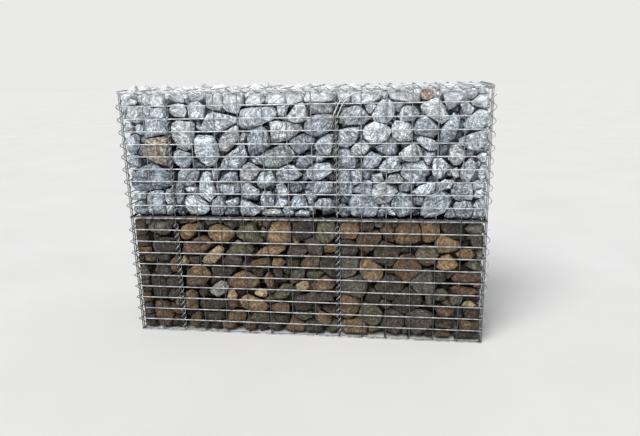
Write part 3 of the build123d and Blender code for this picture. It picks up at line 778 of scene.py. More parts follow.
# %% Outlines of the lower tier
LOWER_FACE = [
    ("plum", .10, .12, .68, .15, .68, 1.4, .10, 1.46),
    ("umber", .10, 1.47, .72, 1.5, .8, 2.35, .10, 2.46),
    ("brown", .10, 2.47, .8, 2.4, .8, 3.05, .42, 3.1, .10, 3.24),
    ("umber", .10, 3.25, .42, 3.2, .44, 4.1, .10, 4.24),
    ("ash", .10, 4.25, .5, 4.2, .62, 4.8, .55, 5.3, .10, 5.34),
    ("umber", .10, 5.36, .6, 5.4, .65, 6.35, .10, 6.43),
    ("brown", .10, 6.44, .55, 6.4, .6, 7.35, .3, 7.4, .10, 7.4),
    ("plum", .10, 7.42, .62, 7.45, .66, 8.4, .10, 8.44),
    ("umber", .12, 8.5, .7, 8.5, .75, 9.7, .12, 9.7),
    ("umber", 14.2, 7.1, 14.9, 7.0, 14.9, 8, 14.3, 8),
    ("brown", 14, 8.15, 14.9, 8.1, 14.9, 9, 14.1, 9),
    ("umber", 13.8, 9.15, 14.9, 9.1, 14.9, 9.8, 13.9, 9.8),
    ("plum", 14.3, 1.05, 14.9, 1, 14.9, 2, 14.5, 2.05),
    ("ash", 14.62, 2.15, 14.92, 2.1, 14.92, 3.05, 14.68, 3),
    ("ash", .75, .6, 1, .25, 1.75, .3, 1.85, .7, 1.7, 1.25, 1.45, 1.42, 1, 1.2, .75, .95),
    ("umber", 1.05, 1.5, 1.45, 1.6, 1.9, 1.4, 2, 1.8, 1.6, 1.92, 1.05, 1.9),
    ("plum", .88, 2.05, 1.9, 1.98, 1.98, 2.5, 1.8, 2.95, .95, 2.95),
    ("brown", .45, 3.2, .7, 3.1, .98, 3.25, .95, 3.7, .5, 3.7),
    ("umber", 1.05, 3.15, 1.62, 3.1, 1.6, 3.6, 1.2, 3.8),
    ("clay", 1.65, 3.7, 1.9, 3.25, 1.98, 3.5, 1.98, 4.55, 1.7, 4.6),
    ("sand", 2.15, 3.6, 2.28, 3.15, 2.46, 3.7, 2.4, 3.92, 2.18, 3.92),
    ("tan", 2.15, 1.4, 2.3, .65, 2.6, .4, 3.02, .4, 3.02, .8, 2.8, 1.35, 2.55, 1.7, 2.3, 1.8),
    ("ash", 3.06, .3, 3.28, .35, 3.25, .9, 3.1, 1.1),
    ("tan", 3.42, 1.1, 3.55, .6, 3.8, .42, 4.15, .55, 4.6, .98, 4.6, 1.3, 4.3, 1.85, 3.8, 1.9, 3.5, 1.6),
    ("ash", 3.3, .15, 3.9, .05, 3.8, .3, 3.5, .42),
    ("plum", 4.15, .2, 4.8, .1, 4.7, .6, 4.5, .8, 4.25, .5),
    ("moss", 4.68, 1.1, 4.9, .5, 5.2, .2, 5.5, .45, 5.68, 1.1, 5.85, 1.8, 5.6, 2.02, 5.05, 1.78, 4.72,
     1.45),
    ("red", 2.68, 1.95, 2.85, 1.65, 3.2, 1.45, 3.4, 1.6, 3.55, 1.95),
    ("red", 2.2, 2.95, 2.3, 2.1, 3.6, 2.08, 3.4, 2.5, 3.08, 2.95),
    ("sand", 3.08, 3.65, 3.15, 3.3, 3.6, 2.6, 3.85, 2.25, 4.1, 2.5, 4, 3.05, 3.65, 3.8, 3.15, 3.85),
    ("moss", 4.15, 2.9, 4.5, 2.1, 4.72, 1.7, 4.95, 1.9, 5.3, 2.12, 5.42, 2.5, 5.2, 2.95, 4.5, 3),
    ("plum", 3.98, 3.6, 4.2, 3.1, 4.85, 3.1, 4.85, 3.8, 4, 3.9),
    ("umber", 2.5, 3.3, 3, 3.2, 3, 3.8, 2.6, 3.9),
    ("clay", 2.25, 5.3, 2.4, 4.5, 2.7, 4.02, 3.1, 4.05, 3.42, 4.7, 3.38, 5.1, 3.1, 5.7, 2.6, 5.85, 2.3,
     5.7),
    ("umber", 3.45, 4.2, 4.6, 4.1, 4.45, 4.6, 4.1, 4.95, 3.6, 4.9),
    ("clay", 4.12, 5.3, 4.5, 4.72, 4.9, 4.38, 5.12, 4.5, 5.55, 5, 5.6, 5.5, 5.3, 5.85, 4.5, 5.95, 4.25,
     5.75),
    ("chalk", 3.3, 6.25, 3.55, 5.7, 3.9, 5.3, 4.1, 5.5, 4.2, 5.85, 4.02, 6.4, 3.75, 6.7, 3.45, 6.6),
    ("sand", 4.12, 6.8, 4.18, 6.2, 4.4, 6.12, 4.55, 6.6, 4.5, 6.92),
    ("clay", 2.15, 7, 2.2, 6.4, 2.5, 6.2, 2.75, 6.5, 2.7, 7.9, 2.15, 7.9),
    ("umber", 2.85, 6.2, 3.25, 6.1, 3.22, 6.6, 2.95, 6.8),
    ("umber", 2.8, 7.6, 2.9, 7, 4, 7, 4, 7.6, 3.7, 7.9, 2.95, 7.9),
    ("brown", 4.1, 7.1, 4.52, 7.05, 4.56, 7.5, 4.35, 7.8, 4.15, 7.6),
    ("tan", 4.62, 7.1, 4.75, 6.7, 5.05, 6.45, 5.4, 6.75, 5.7, 7, 5.95, 7.5, 5.8, 7.9, 5, 7.9, 4.72, 7.6),
    ("clay", 4.08, 8.3, 4.25, 7.95, 4.7, 7.92, 4.9, 8.4, 4.85, 8.88, 4.1, 8.85),
    ("brown", 2.25, 9.2, 2.45, 8.5, 2.7, 8.1, 2.9, 8.5, 2.9, 9.1, 2.5, 9.6),
    ("moss", 1.72, 7.3, 1.85, 6.85, 2, 6.75, 2, 7.5, 1.85, 7.85),
    ("umber", 3.05, 8.2, 3.9, 8.1, 3.95, 8.7, 3.4, 8.9, 3.05, 8.8),
    ("tan", 6.02, 1.7, 6.12, .7, 6.25, .2, 6.95, .2, 7.1, .7, 7, 1.7, 6.85, 2, 6.1, 2),
    ("ash", 5.74, .9, 5.86, .55, 5.98, .8, 5.96, 1.5, 5.86, 1.4),
    ("tan", 5.48, 2.95, 5.7, 2.5, 6.1, 2.18, 6.75, 2.15, 6.78, 2.45, 6.4, 2.9, 5.9, 3),
    ("plum", 6.85, 2.85, 6.95, 2.2, 7.6, 2.15, 7.7, 2.6, 7.5, 3.05, 6.9, 3.1),
    ("brown", 5.15, 3.85, 5.35, 3.5, 5.9, 3.2, 6.12, 3.25, 6.1, 3.9, 5.3, 4),
    ("tan", 6.18, 3.85, 6.25, 3.3, 6.6, 3.25, 6.75, 3.6, 6.6, 3.95),
    ("umber", 5.2, 4.25, 5.85, 4.15, 5.75, 4.75, 5.55, 4.85),
    ("clay", 5.8, 4.9, 6, 4.4, 6.14, 4.15, 6.18, 4.8, 6.38, 5.3, 6.2, 5.8, 5.95, 5.65, 5.82, 5.3),
    ("umber", 6.22, 4.2, 6.6, 4.15, 6.6, 4.9, 6.32, 4.95),
    ("ash", 6.95, 4.5, 7.1, 4.15, 7.6, 4.15, 7.55, 4.8, 7.05, 4.9),
    ("moss", 7.65, 4.6, 7.75, 4.2, 8.35, 4.2, 8.4, 4.4, 8.2, 4.85, 7.8, 4.95),
    ("sand", 7.18, 5.5, 7.45, 5.15, 7.68, 5.2, 7.75, 5.7, 7.6, 5.98, 7.25, 5.9),
    ("moss", 6.15, 6.5, 6.42, 5.9, 6.65, 5.45, 6.98, 5.45, 7, 6, 6.75, 6.6, 6.5, 6.85, 6.2, 6.8),
    ("sand", 5.35, 6.3, 5.45, 5.98, 5.8, 5.95, 5.95, 6.3, 5.8, 6.6, 5.5, 6.55),
    ("plum", 7.05, 6.8, 7.3, 6.45, 7.9, 6.15, 8.7, 6.1, 8.8, 6.8, 8, 6.95, 7.1, 6.95),
    ("tan", 6.05, 7.8, 6.1, 7.3, 6.5, 7.1, 6.85, 7.3, 6.85, 7.85, 6.2, 7.9),
    ("umber", 7, 7.1, 7.85, 7.1, 7.8, 7.6, 7.2, 7.7),
    ("moss", 7.1, 8.4, 7.15, 7.85, 7.85, 7.8, 7.85, 8.3, 7.5, 8.6),
    ("clay", 8.05, 8.3, 8.15, 7.7, 8.4, 7.9, 8.7, 8.2, 8.65, 8.8, 8.1, 8.8),
    ("moss", 5.05, 8.6, 5.3, 8.15, 5.9, 8.2, 5.95, 8.8, 5.3, 8.9),
    ("umber", 6.15, 8.3, 6.85, 8.15, 6.8, 8.8, 6.4, 8.9),
    ("clay", 13.8, 2.5, 14.05, 2.15, 14.4, 2.15, 14.58, 2.65, 14.35, 2.95, 14, 2.9),
    ("tan", 13.05, 3.7, 13.1, 3.2, 13.25, 2.75, 13.55, 2.55, 13.75, 2.98, 13.95, 3.4, 13.8, 3.8, 13.3, 3.9),
    ("ash", 14.2, 3.4, 14.35, 3.1, 14.65, 3.15, 14.95, 3.7, 14.85, 3.9, 14.4, 3.65),
    ("red", 13.6, 4.5, 13.85, 4.15, 14.3, 4.02, 14.85, 4.1, 14.88, 4.6, 14.7, 4.85, 13.85, 4.85),
    ("umber", 13, 4.2, 13.4, 4.1, 13.45, 4.8, 13.05, 4.95),
    ("moss", 12.98, 6, 13.1, 5.6, 13.4, 5.5, 13.58, 5.9, 13.45, 6.4, 13.05, 6.5),
    ("brown", 13.62, 5.4, 13.9, 5.2, 14.6, 5.4, 14.85, 5.7, 14.4, 5.85, 13.8, 5.8),
    ("ash", 13.65, 6.3, 13.8, 6.02, 14.2, 6.1, 14.08, 6.7, 13.75, 6.85),
    ("sand", 14.12, 6.85, 14.25, 6.55, 14.5, 6.45, 14.7, 6.8, 14.5, 6.95),
    ("ash", 12.65, 6.1, 12.94, 6.05, 12.95, 6.9, 12.7, 6.9),
    ("red", 13.05, 7.2, 13.8, 7.1, 13.85, 7.7, 13.3, 7.9),
    ("ash", 14.1, .5, 14.4, .15, 14.9, .2, 14.9, .8, 14.3, .85),
    ("umber", 13.05, 8.2, 13.8, 8.1, 13.75, 8.8, 13.1, 8.85),
    ("brown", 13.05, 9.3, 13.3, 9.05, 13.7, 9.2, 13.6, 9.7, 13.1, 9.8)]

print("stones set out by hand:", len(UPPER_FACE) + len(LOWER_FACE))

# %% [markdown]
# A stone is a middle and a set of planes around it, each with a normal and a distance. Crushed rock really
# is broken along planes, so this gives flat facets and straight edges that a lumpy sphere never has. For a
# stone of the face the planes come from its outline, which lies in depth where the stone is widest.

# %% Where an outline lies
FRONT = np.array([0.0, -1.0, 0.0])


def seen_through(corners, tier, depth):
    """The places at a depth behind the face that the camera sees through spots of the mesh."""
    high = FLOOR[tier] + BASKET - WIRE / 2 - corners[:, 1] * ROW_PITCH
    spots = np.stack([column_x(corners[:, 0]), np.full(len(corners), -DEPTH / 2 + WIRE), high], axis=1)
    rays = spots - CAMERA_PLACE
    return spots + rays * (depth / rays[:, 1:2])


# %% Planes from an outline
RIM_DEPTH = 0.022
RIM_SPREAD = 0.0014
PEAK_DEPTH = 0.058
PEAK_ROW = -0.05
LEAST_REACH = 0.004
LEAN = (0.06, 0.34)
TUCK = (8, 32)
LARGE_SIZE = 0.020
PROUD_LARGE = (0.88, 1.02)
PROUD_SMALL = (0.55, 0.95)
RING = 4
RING_PLAY = 0.5
RIDGE = (0.05, 0.60)
STEEP = (22, 58)
STEEPEST = 0.85
CAP_STEEP = (3, 14)
BACK_TILT = 0.25
BACK_REACH = (0.8, 1.1)


def outline_stone(numbers, tier, chance):
    """A stone of the face: two planes through each edge of its outline, facets in front, one plane behind.

    A plane leaning by an angle from the outline's edge stands cos(angle) x the edge's distance away. A ring
    of facets and a flatter cap make the front. Each goes through a ridge point, so its distance is
    normal . (ridge point - middle). LEAN and BACK_REACH are shares of the stone's size, PROUD of its depth
    and RIDGE of its reach. TUCK, STEEP and CAP_STEEP are in degrees.
    """
    corners = np.array(numbers).reshape(-1, 2)
    highest = corners[:, 1].argmin()
    rises = corners[highest, 1] < PEAK_ROW
    depth = PEAK_DEPTH if rises else RIM_DEPTH
    rim = seen_through(corners, tier, depth)
    ahead = np.roll(rim, -1, axis=0)
    twice = rim[:, 0] * ahead[:, 2] - ahead[:, 0] * rim[:, 2]
    middle = ((rim + ahead) * twice[:, None]).sum(axis=0) / (3 * twice.sum())
    middle[1] = rim[0, 1]
    size = math.sqrt(abs(twice.sum()) / 2) / 2
    edge = ahead - rim
    side = unit(np.stack([edge[:, 2], np.zeros(len(rim)), -edge[:, 0]], axis=1))
    reach = ((rim - middle) * side).sum(axis=1)
    side *= np.sign(reach)[:, None]
    reach = np.maximum(np.abs(reach) + RIM_SPREAD, LEAST_REACH)
    lean = np.arctan(size * chance.uniform(*LEAN, len(rim)) / depth)[:, None]
    tuck = np.radians(chance.uniform(*TUCK, len(rim)))[:, None]
    proud = depth * chance.uniform(*(PROUD_LARGE if size > LARGE_SIZE else PROUD_SMALL))
    swing = chance.uniform(0, 2 * np.pi) + 2 * np.pi * np.arange(RING + 1) / RING
    swing += chance.uniform(-RING_PLAY, RING_PLAY, RING + 1)
    across = np.stack([np.cos(swing), np.zeros(RING + 1), np.sin(swing)], axis=1)
    far = (across @ (rim - middle).T).max(axis=1)
    ridge = far * chance.uniform(*RIDGE, RING + 1)
    steep = np.tan(np.radians(chance.uniform(*STEEP, RING + 1)))
    steep = np.minimum(steep, STEEPEST * proud / (far - ridge))
    steep[RING] = math.tan(math.radians(chance.uniform(*CAP_STEEP)))
    ridge[RING] = 0.0
    tilt = np.arctan(steep)[:, None]
    behind = np.array([[chance.uniform(-BACK_TILT, BACK_TILT), 1.0, chance.uniform(-BACK_TILT, BACK_TILT)]])
    normals = np.concatenate([
        side * np.cos(lean) + FRONT * np.sin(lean), side * np.cos(tuck) - FRONT * np.sin(tuck),
        across * np.sin(tilt) + FRONT * np.cos(tilt), behind / np.linalg.norm(behind)])
    distances = np.concatenate([
        reach * np.cos(lean[:, 0]), reach * np.cos(tuck[:, 0]),
        np.sin(tilt[:, 0]) * ridge + np.cos(tilt[:, 0]) * proud, [size * chance.uniform(*BACK_REACH)]])
    return {"middle": middle, "planes": (normals, distances), "rim": rim - middle,
            "peak": rim[highest] if rises else None, "rise": -corners[highest, 1] * ROW_PITCH}


# %% [markdown]
# The basket itself is planes too. Its sides press the stones flat against the mesh, and slanting planes keep
# the edges free for the spirals. Stones of the top course rise through the cells of the lid. For them the
# top plane gives way to four that slope up from the wires of the cell.

# %% Planes of the basket
WALL_GAP = 0.001
UPRIGHT_BEVEL = 0.0114
LEVEL_BEVEL = 0.0120
TOP_PLANE = 5
SLOPE_RUN = 0.26


def compartment_walls(low, high):
    """Planes that hold the stones in: six sides, and twelve across the edges, as normals and offsets."""
    normals, offsets = [], []
    for axis in range(3):
        for sign, limit in ((-1, -low[axis]), (1, high[axis])):
            normal = np.zeros(3)
            normal[axis] = sign
            normals.append(normal)
            offsets.append(limit)
    for first in range(6):
        for second in range(first + 1, 6):
            if first // 2 != second // 2:
                bevel = LEVEL_BEVEL if second > 3 else UPRIGHT_BEVEL
                normals.append((normals[first] + normals[second]) / math.sqrt(2))
                offsets.append((offsets[first] + offsets[second] - bevel) / math.sqrt(2))
    return np.array(normals), np.array(offsets)


def raise_roof(walls, place, rise, top_level):
    """Swap the top plane for four that slope up from the wires around the cell of the lid above a place."""
    slope = math.atan2(rise, SLOPE_RUN * COLUMN_PITCH)
    margin = WIRE / 2 + WALL_GAP
    clear = np.array([LENGTH, DEPTH]) / 2 - INSET - LEVEL_BEVEL
    first = -np.array([LENGTH, DEPTH]) / 2 + WIRE / 2
    cell = np.floor((np.array(place[:2]) - first) / COLUMN_PITCH)
    left, near = np.maximum(first + cell * COLUMN_PITCH + margin, -clear)
    right, far = np.minimum(first + (cell + 1) * COLUMN_PITCH - margin, clear)
    sine, cosine = math.sin(slope), math.cos(slope)
    normals = np.array([[-sine, 0, cosine], [sine, 0, cosine], [0, -sine, cosine], [0, sine, cosine]])
    offsets = top_level * cosine + sine * np.array([-left, right, -near, far])
    kept = np.arange(len(walls[0])) != TOP_PLANE
    return np.concatenate([walls[0][kept], normals]), np.concatenate([walls[1][kept], offsets])


# %% [markdown]
# Stones that are not listed by outline start as eggs: a middle, three half sizes and a turn. A cloud of
# points fills the basket. A size is drawn, and of all points with room for it the tightest one is taken, as
# a stone rolls into a corner. Where two eggs meet, they share the plane between them.

# %% Packing the rest
CLOUD = 2600
MOST_TRIES = 300
SIZE_RANGE = (0.85, 1.2)
SNUG = 0.80
SHAPE_LOW = (1.0, 0.9, 0.8)
SHAPE_HIGH = (1.4, 1.2, 1.1)
MOST_TURN = 0.7


def egg_parts(ways, turn):
    """The parts of each direction along an egg's long, deep and tall axes."""
    cosine, sine = np.cos(turn), np.sin(turn)
    along, up = ways[..., 0], ways[..., 2]
    return np.stack([along * cosine + up * sine, ways[..., 1], up * cosine - along * sine], axis=-1)


def egg_reach(ways, half, turn):
    """From the middle of an egg to its skin: 1 / |parts of the way / half sizes| for each direction."""
    return 1 / np.sqrt(((egg_parts(ways, turn) / half) ** 2).sum(axis=-1) + 1e-12)


def room_beside(points, skin):
    """How far each point is from the nearest corner of a carved stone."""
    square = (points ** 2).sum(axis=1)[:, None] + (skin ** 2).sum(axis=1) - 2 * points @ skin.T
    return np.sqrt(np.maximum(square.min(axis=1), 0))


def room_around(points, egg):
    """How far each point is from an egg, along the line to its middle."""
    gap = points - egg["middle"]
    distance = np.linalg.norm(gap, axis=1) + 1e-9
    return distance - egg_reach(gap / distance[:, None], egg["half"], egg["turn"])


def inside_any(points, stones):
    """Which points lie inside one of the carved stones."""
    inside = np.zeros(len(points), bool)
    for stone in stones:
        normals, distances = stone["planes"]
        beyond = (points - stone["middle"]) @ normals.T - distances
        inside |= beyond.max(axis=1) < 0
    return inside


def pack(carved, eggs, low, high, kinds, sizes, chance):
    """Fill a box with eggs, from large ones to the smallest that still fits between the carved stones."""
    cloud = chance.uniform(low, high, (CLOUD, 3))
    cloud = cloud[~inside_any(cloud, carved)]
    room = np.ones(len(cloud))
    for stone in carved:
        room = np.minimum(room, room_beside(cloud, stone["skin"]))
    for egg in eggs:
        room = np.minimum(room, room_around(cloud, egg))
    for size in sizes:
        for attempt in range(MOST_TRIES):
            wanted = size * chance.uniform(*SIZE_RANGE)
            fitting = np.where(room > wanted * SNUG)[0]
            if len(fitting) == 0:
                break
            spot = fitting[np.argmin(room[fitting])]
            shape = chance.uniform(SHAPE_LOW, SHAPE_HIGH)
            egg = {"middle": cloud[spot], "half": wanted * shape,
                   "turn": chance.uniform(-MOST_TURN, MOST_TURN),
                   "rock": kinds[chance.integers(len(kinds))]}
            eggs.append(egg)
            room = np.minimum(room, room_around(cloud, egg))


# %% Planes of an egg
FACETS = 8
FACET_SCATTER = 0.25
FACET_REACH = (0.64, 1.0)
SWELL = 1.30
HALF_GAP = 0.0016
NEAR_EGG = 0.17
NEAR_STONE = 0.20


def egg_planes(egg, eggs, carved, chance):
    """Random facets around a swollen egg, planes shared with other eggs, and one beside each carved stone.

    The plane beside a carved stone looks at its nearest corner, and stands before all of its corners.
    """
    step = np.arange(FACETS) + 0.5
    height = 1 - 2 * step / FACETS
    swing = np.pi * (1 + math.sqrt(5)) * step + chance.uniform(0, 2 * np.pi)
    flat = np.sqrt(1 - height ** 2)
    facets = np.stack([flat * np.cos(swing), height, flat * np.sin(swing)], axis=1)
    facets = unit(facets + chance.normal(scale=FACET_SCATTER, size=facets.shape))
    touch = np.linalg.norm(egg_parts(facets, egg["turn"]) * egg["half"] * SWELL, axis=1)
    touch *= chance.uniform(*FACET_REACH, FACETS)
    normals, distances = [facets], [touch]
    for other in eggs:
        gap = other["middle"] - egg["middle"]
        apart = np.linalg.norm(gap)
        if 0 < apart < NEAR_EGG:
            way = gap / apart
            mine = egg_reach(way, egg["half"], egg["turn"])
            theirs = egg_reach(-way, other["half"], other["turn"])
            normals.append(way[None])
            distances.append([apart * mine / (mine + theirs) - HALF_GAP])
    for stone in carved:
        if np.linalg.norm(stone["middle"] - egg["middle"]) < NEAR_STONE:
            gaps = stone["skin"] - egg["middle"]
            away = np.linalg.norm(gaps, axis=1)
            way = gaps[away.argmin()] / away.min()
            normals.append(way[None])
            distances.append([(gaps @ way).min() - 2 * HALF_GAP])
    return np.concatenate(normals), np.concatenate(distances)


# %% [markdown]
# Now planes become a rock. Rays go out from its middle, and each stops at the first plane that it meets.
# Stopping hard would leave razor edges, so the nearest planes are blended by a high power. A lower power
# gives the worn brown rubble. Each facet gets its own tone, and chipped edges are a little lighter.

# %% Rays from the middle
def ray_fan(pole, rings, rear_rings, segments, rim=None):
    """Directions on a sphere: dense rings around the pole that faces out, wide ones behind.

    A direction is cos(a) pole + sin(a) (cos(b) first + sin(b) second), with the pole and its opposite as
    single points. One ring stands at a right angle to the pole. Every corner of a rim gets its own angle b.
    """
    pole = pole / np.linalg.norm(pole)
    helper = np.array([0.0, 0.0, 1.0]) if abs(pole[2]) < 0.9 else np.array([1.0, 0.0, 0.0])
    first = np.cross(helper, pole)
    first /= np.linalg.norm(first)
    second = np.cross(pole, first)
    shoulder = math.pi / 2 * rings / (rings - 2)
    polar = np.concatenate([np.linspace(0, shoulder, rings + 1)[1:],
                            np.linspace(shoulder, math.pi, rear_rings + 1)[1:-1]])
    around = 2 * np.pi * np.arange(segments) / segments
    if rim is not None:
        corner = np.sort(np.arctan2(rim @ second, rim @ first))
        ahead = np.append(corner[1:], corner[0] + 2 * np.pi)
        around = np.concatenate([
            np.linspace(start, end, max(1, round((end - start) / (2 * np.pi) * segments)), endpoint=False)
            for start, end in zip(corner, ahead)])
        segments = len(around)
    ring = np.cos(around)[:, None] * first + np.sin(around)[:, None] * second
    ways = np.cos(polar)[:, None, None] * pole + np.sin(polar)[:, None, None] * ring
    count = len(polar)
    number = 1 + np.arange(count * segments).reshape(count, segments)
    ahead = np.roll(number, -1, axis=1)
    quads = np.stack([number[:-1], number[1:], ahead[1:], ahead[:-1]], axis=-1).reshape(-1, 4)
    last = count * segments + 1
    front = np.stack([np.zeros(segments, int), number[0], ahead[0]], axis=-1)
    rear = np.stack([number[-1], np.full(segments, last), ahead[-1]], axis=-1)
    return np.concatenate([[pole], ways.reshape(-1, 3), [-pole]]), [quads, np.concatenate([front, rear])]


# %% Carving one stone
FACET_TONE = (0.70, 1.20)
EDGE_FROM = 0.92
EDGE_SPAN = 0.08
DENT_SIZE = 0.028
CHIP_SIZE = 0.010
LOOKS = {
    "upper": {"power": 90, "dent": 0.0024, "chip": 0.0013, "worn": 0.16,
              "kinds": ("pale", "pale", "blue", "grey", "lilac", "cream", "slate", "green", "blue", "grey")},
    "lower": {"power": 60, "dent": 0.0026, "chip": 0.0012, "worn": 0.14,
              "kinds": ("tan", "clay", "brown", "umber", "umber", "moss", "plum", "ash", "brown", "umber")}}


def carve(middle, normals, distances, wall_count, fan, look, chance):
    """The points, faces and tones of one stone, whose last planes are the walls around it.

    Along a ray, radius = (sum over planes of (normal . ray / distance) ** power) ** (-1 / power). Two sizes
    of waves roughen it, but never push it through a wall.
    """
    rays, faces = fan
    nearness = np.clip(rays @ normals.T, 0, None) / np.maximum(distances, LEAST_REACH)
    radius = (nearness ** look["power"]).sum(axis=1) ** (-1 / look["power"])
    tone = chance.uniform(*FACET_TONE, len(normals))[nearness.argmax(axis=1)]
    best = np.partition(nearness, -2, axis=1)
    tone *= 1 + look["worn"] * np.clip((best[:, -2] / best[:, -1] - EDGE_FROM) / EDGE_SPAN, 0, 1)
    seed = int(chance.integers(1, 10 ** 6))
    surface = rays * radius[:, None]
    radius += look["dent"] * waves(surface, seed, DENT_SIZE)
    radius += look["chip"] * waves(surface, seed + 1, CHIP_SIZE)
    radius = np.minimum(radius, 1 / np.maximum(nearness[:, -wall_count:].max(axis=1), 1e-6))
    return middle + rays * radius[:, None], faces, tone


# %% [markdown]
# The stones nearest the lid are paler, partly bleached and partly painted light from above. Near the ground
# they are darker, and deep in the basket they get painted shade, as little light comes there. Nodes could
# work that out from the place in the wall. Here it goes into the colour of each point, which also knows what
# rock it belongs to.

# %% Colours of one stone
BLEACHED_AND_LIT = np.array([*linear(251, 254, 255), 0.4])
BLEACH_AND_LIGHT = 0.97
BLEACH_AND_LIGHT_RUST = 0.3
BLEACH_AND_LIGHT_DEPTH = 0.070
BURIED = 0.5
BURIED_FROM = 0.014
BURIED_SPAN = 0.04
LOW_DARKENING = 0.34
LOW_DARKENING_HEIGHT = 0.22
TOP_PULL = 0.7
END_PULL = 0.8
LAST = len(SEAM_COLUMNS) + 1


def open_sides(tier, number, low, high):
    """The open sides of a compartment: the way out, how far along it the side lies, and its pull.

    The pull says how much a stone near that side turns its fine grid toward it.
    """
    sides = {"front": (FRONT, -low[1], 1.0), "back": (-FRONT, high[1], 1.0)}
    if tier == "upper":
        sides["top"] = (np.array([0.0, 0, 1]), high[2], TOP_PULL)
    if number == 1:
        sides["left"] = (np.array([-1.0, 0, 0]), -low[0], END_PULL)
    if number == LAST:
        sides["right"] = (np.array([1.0, 0, 0]), high[0], END_PULL)
    return sides


def stone_colors(rock, tone, points, sides):
    """Each point's colour, and in alpha how lively its pattern is.

    Bleaching and painted light go toward BLEACHED_AND_LIT by BLEACH_AND_LIGHT x e ** (-depth below the lid /
    BLEACH_AND_LIGHT_DEPTH), and the colour near the ground loses LOW_DARKENING x
    e ** (-height / LOW_DARKENING_HEIGHT).
    """
    tint = np.array([*linear(*ROCK[rock]), 1.0])
    below = np.minimum(points[:, 2] - 2 * BASKET, 0)[:, None]
    # Paler toward the lid: partly bleached rock, partly painted light from above.
    bleach_and_light = (BLEACH_AND_LIGHT_RUST if rock == "rust" else BLEACH_AND_LIGHT) * np.exp(below / BLEACH_AND_LIGHT_DEPTH)
    tint = tint + (BLEACHED_AND_LIT - tint) * bleach_and_light
    buried = np.min([reach - points @ way for way, reach, pull in sides.values()], axis=0)
    # Painted shade deep in the basket, away from the open sides.
    tone = tone * (1 - BURIED * np.clip((buried - BURIED_FROM) / BURIED_SPAN, 0, 1))
    # Darker toward the ground.
    tone = tone * (1 - LOW_DARKENING * np.exp(-points[:, 2] / LOW_DARKENING_HEIGHT))
    return np.where([True, True, True, False], tint * tone[:, None], tint)


# %% [markdown]
# Most eggs have their middles in thin layers along the sides of a compartment. The large ones come first,
# along every side and then inside, and the small ones fill the chinks between them. To pack the whole depth
# as tightly would cost many stones that nobody sees.

# %% Layers of stones
ROUNDS = (((0.047, 0.040, 0.032, 0.025), 0.024, 0.012), ((0.019, 0.014, 0.010), 0.012, 0.020))
LAYERS = {
    "front": (1, False, 0.028, 0.050), "back": (1, True, 0.028, 0.016), "top": (2, True, 0.016, 0.014),
    "joint": (2, True, 0.028, 0.014), "floor": (2, False, 0.028, 0.016), "left": (0, False, 0.026, 0.012),
    "right": (0, True, 0.026, 0.012)}
CORE_MARGIN = 0.04


def pack_layers(carved, tier, sides, low, high, kinds, chance):
    """All eggs of a compartment.

    A layer has its axis, whether it is at the high end, and how far in the large and the small stones lie.
    A round has its sizes, its margin at the other sides, and the thickness of its layers.
    """
    eggs = []
    closed = ("floor",) if tier == "upper" else ("joint", "floor")
    layers = [layer for side, layer in LAYERS.items() if side in sides or side in closed]
    for round_number, (sizes, margin, thickness) in enumerate(ROUNDS):
        for axis, at_high, *insets in layers:
            layer_low, layer_high = low + margin, high - margin
            if at_high:
                layer_high[axis] = high[axis] - insets[round_number]
                layer_low[axis] = layer_high[axis] - thickness
            else:
                layer_low[axis] = low[axis] + insets[round_number]
                layer_high[axis] = layer_low[axis] + thickness
            pack(carved, eggs, layer_low, layer_high, kinds, sizes, chance)
        if round_number == 0:
            pack(carved, eggs, low + CORE_MARGIN, high - CORE_MARGIN, kinds, sizes[:3], chance)
    return eggs


# %% [markdown]
# A compartment gathers all of it. Stones that touch an outer side get fine grids that face that side, and
# those inside the wall, which are only glimpsed through gaps, get coarse ones. The stone is heaped a little
# above the lid, more at the left than at the right.

# %% One compartment of stones
# Rings of a stone's grid in front and behind, and segments around it
GRIDS = {"hand": (14, 4, 32), "front": (10, 2, 24), "other": (7, 2, 16), "inside": (4, 2, 8)}
NEAR_SIDE = 0.06
CREASE = 15
STONE_TONE = (0.90, 1.10)
NUMBER_STEP = 0.37
HEAP_DEPTH = 0.045
HEAP = 0.022
HEAP_LOSS = 0.016
HEAP_FROM = -0.2
HEAP_SPAN = 0.5
HEAP_PLAY = (0.4, 1.2)


def facing(middle, sides):
    """The way a stone faces, which is the pulls of the open sides near it summed, and the grid it needs."""
    near = {}
    for side, (way, reach, pull) in sides.items():
        if reach - way @ middle < NEAR_SIDE:
            near[side] = pull * way
    pole = sum(near.values(), np.zeros(3)) if near else FRONT
    return pole, GRIDS["front" if "front" in near else "other" if near else "inside"]


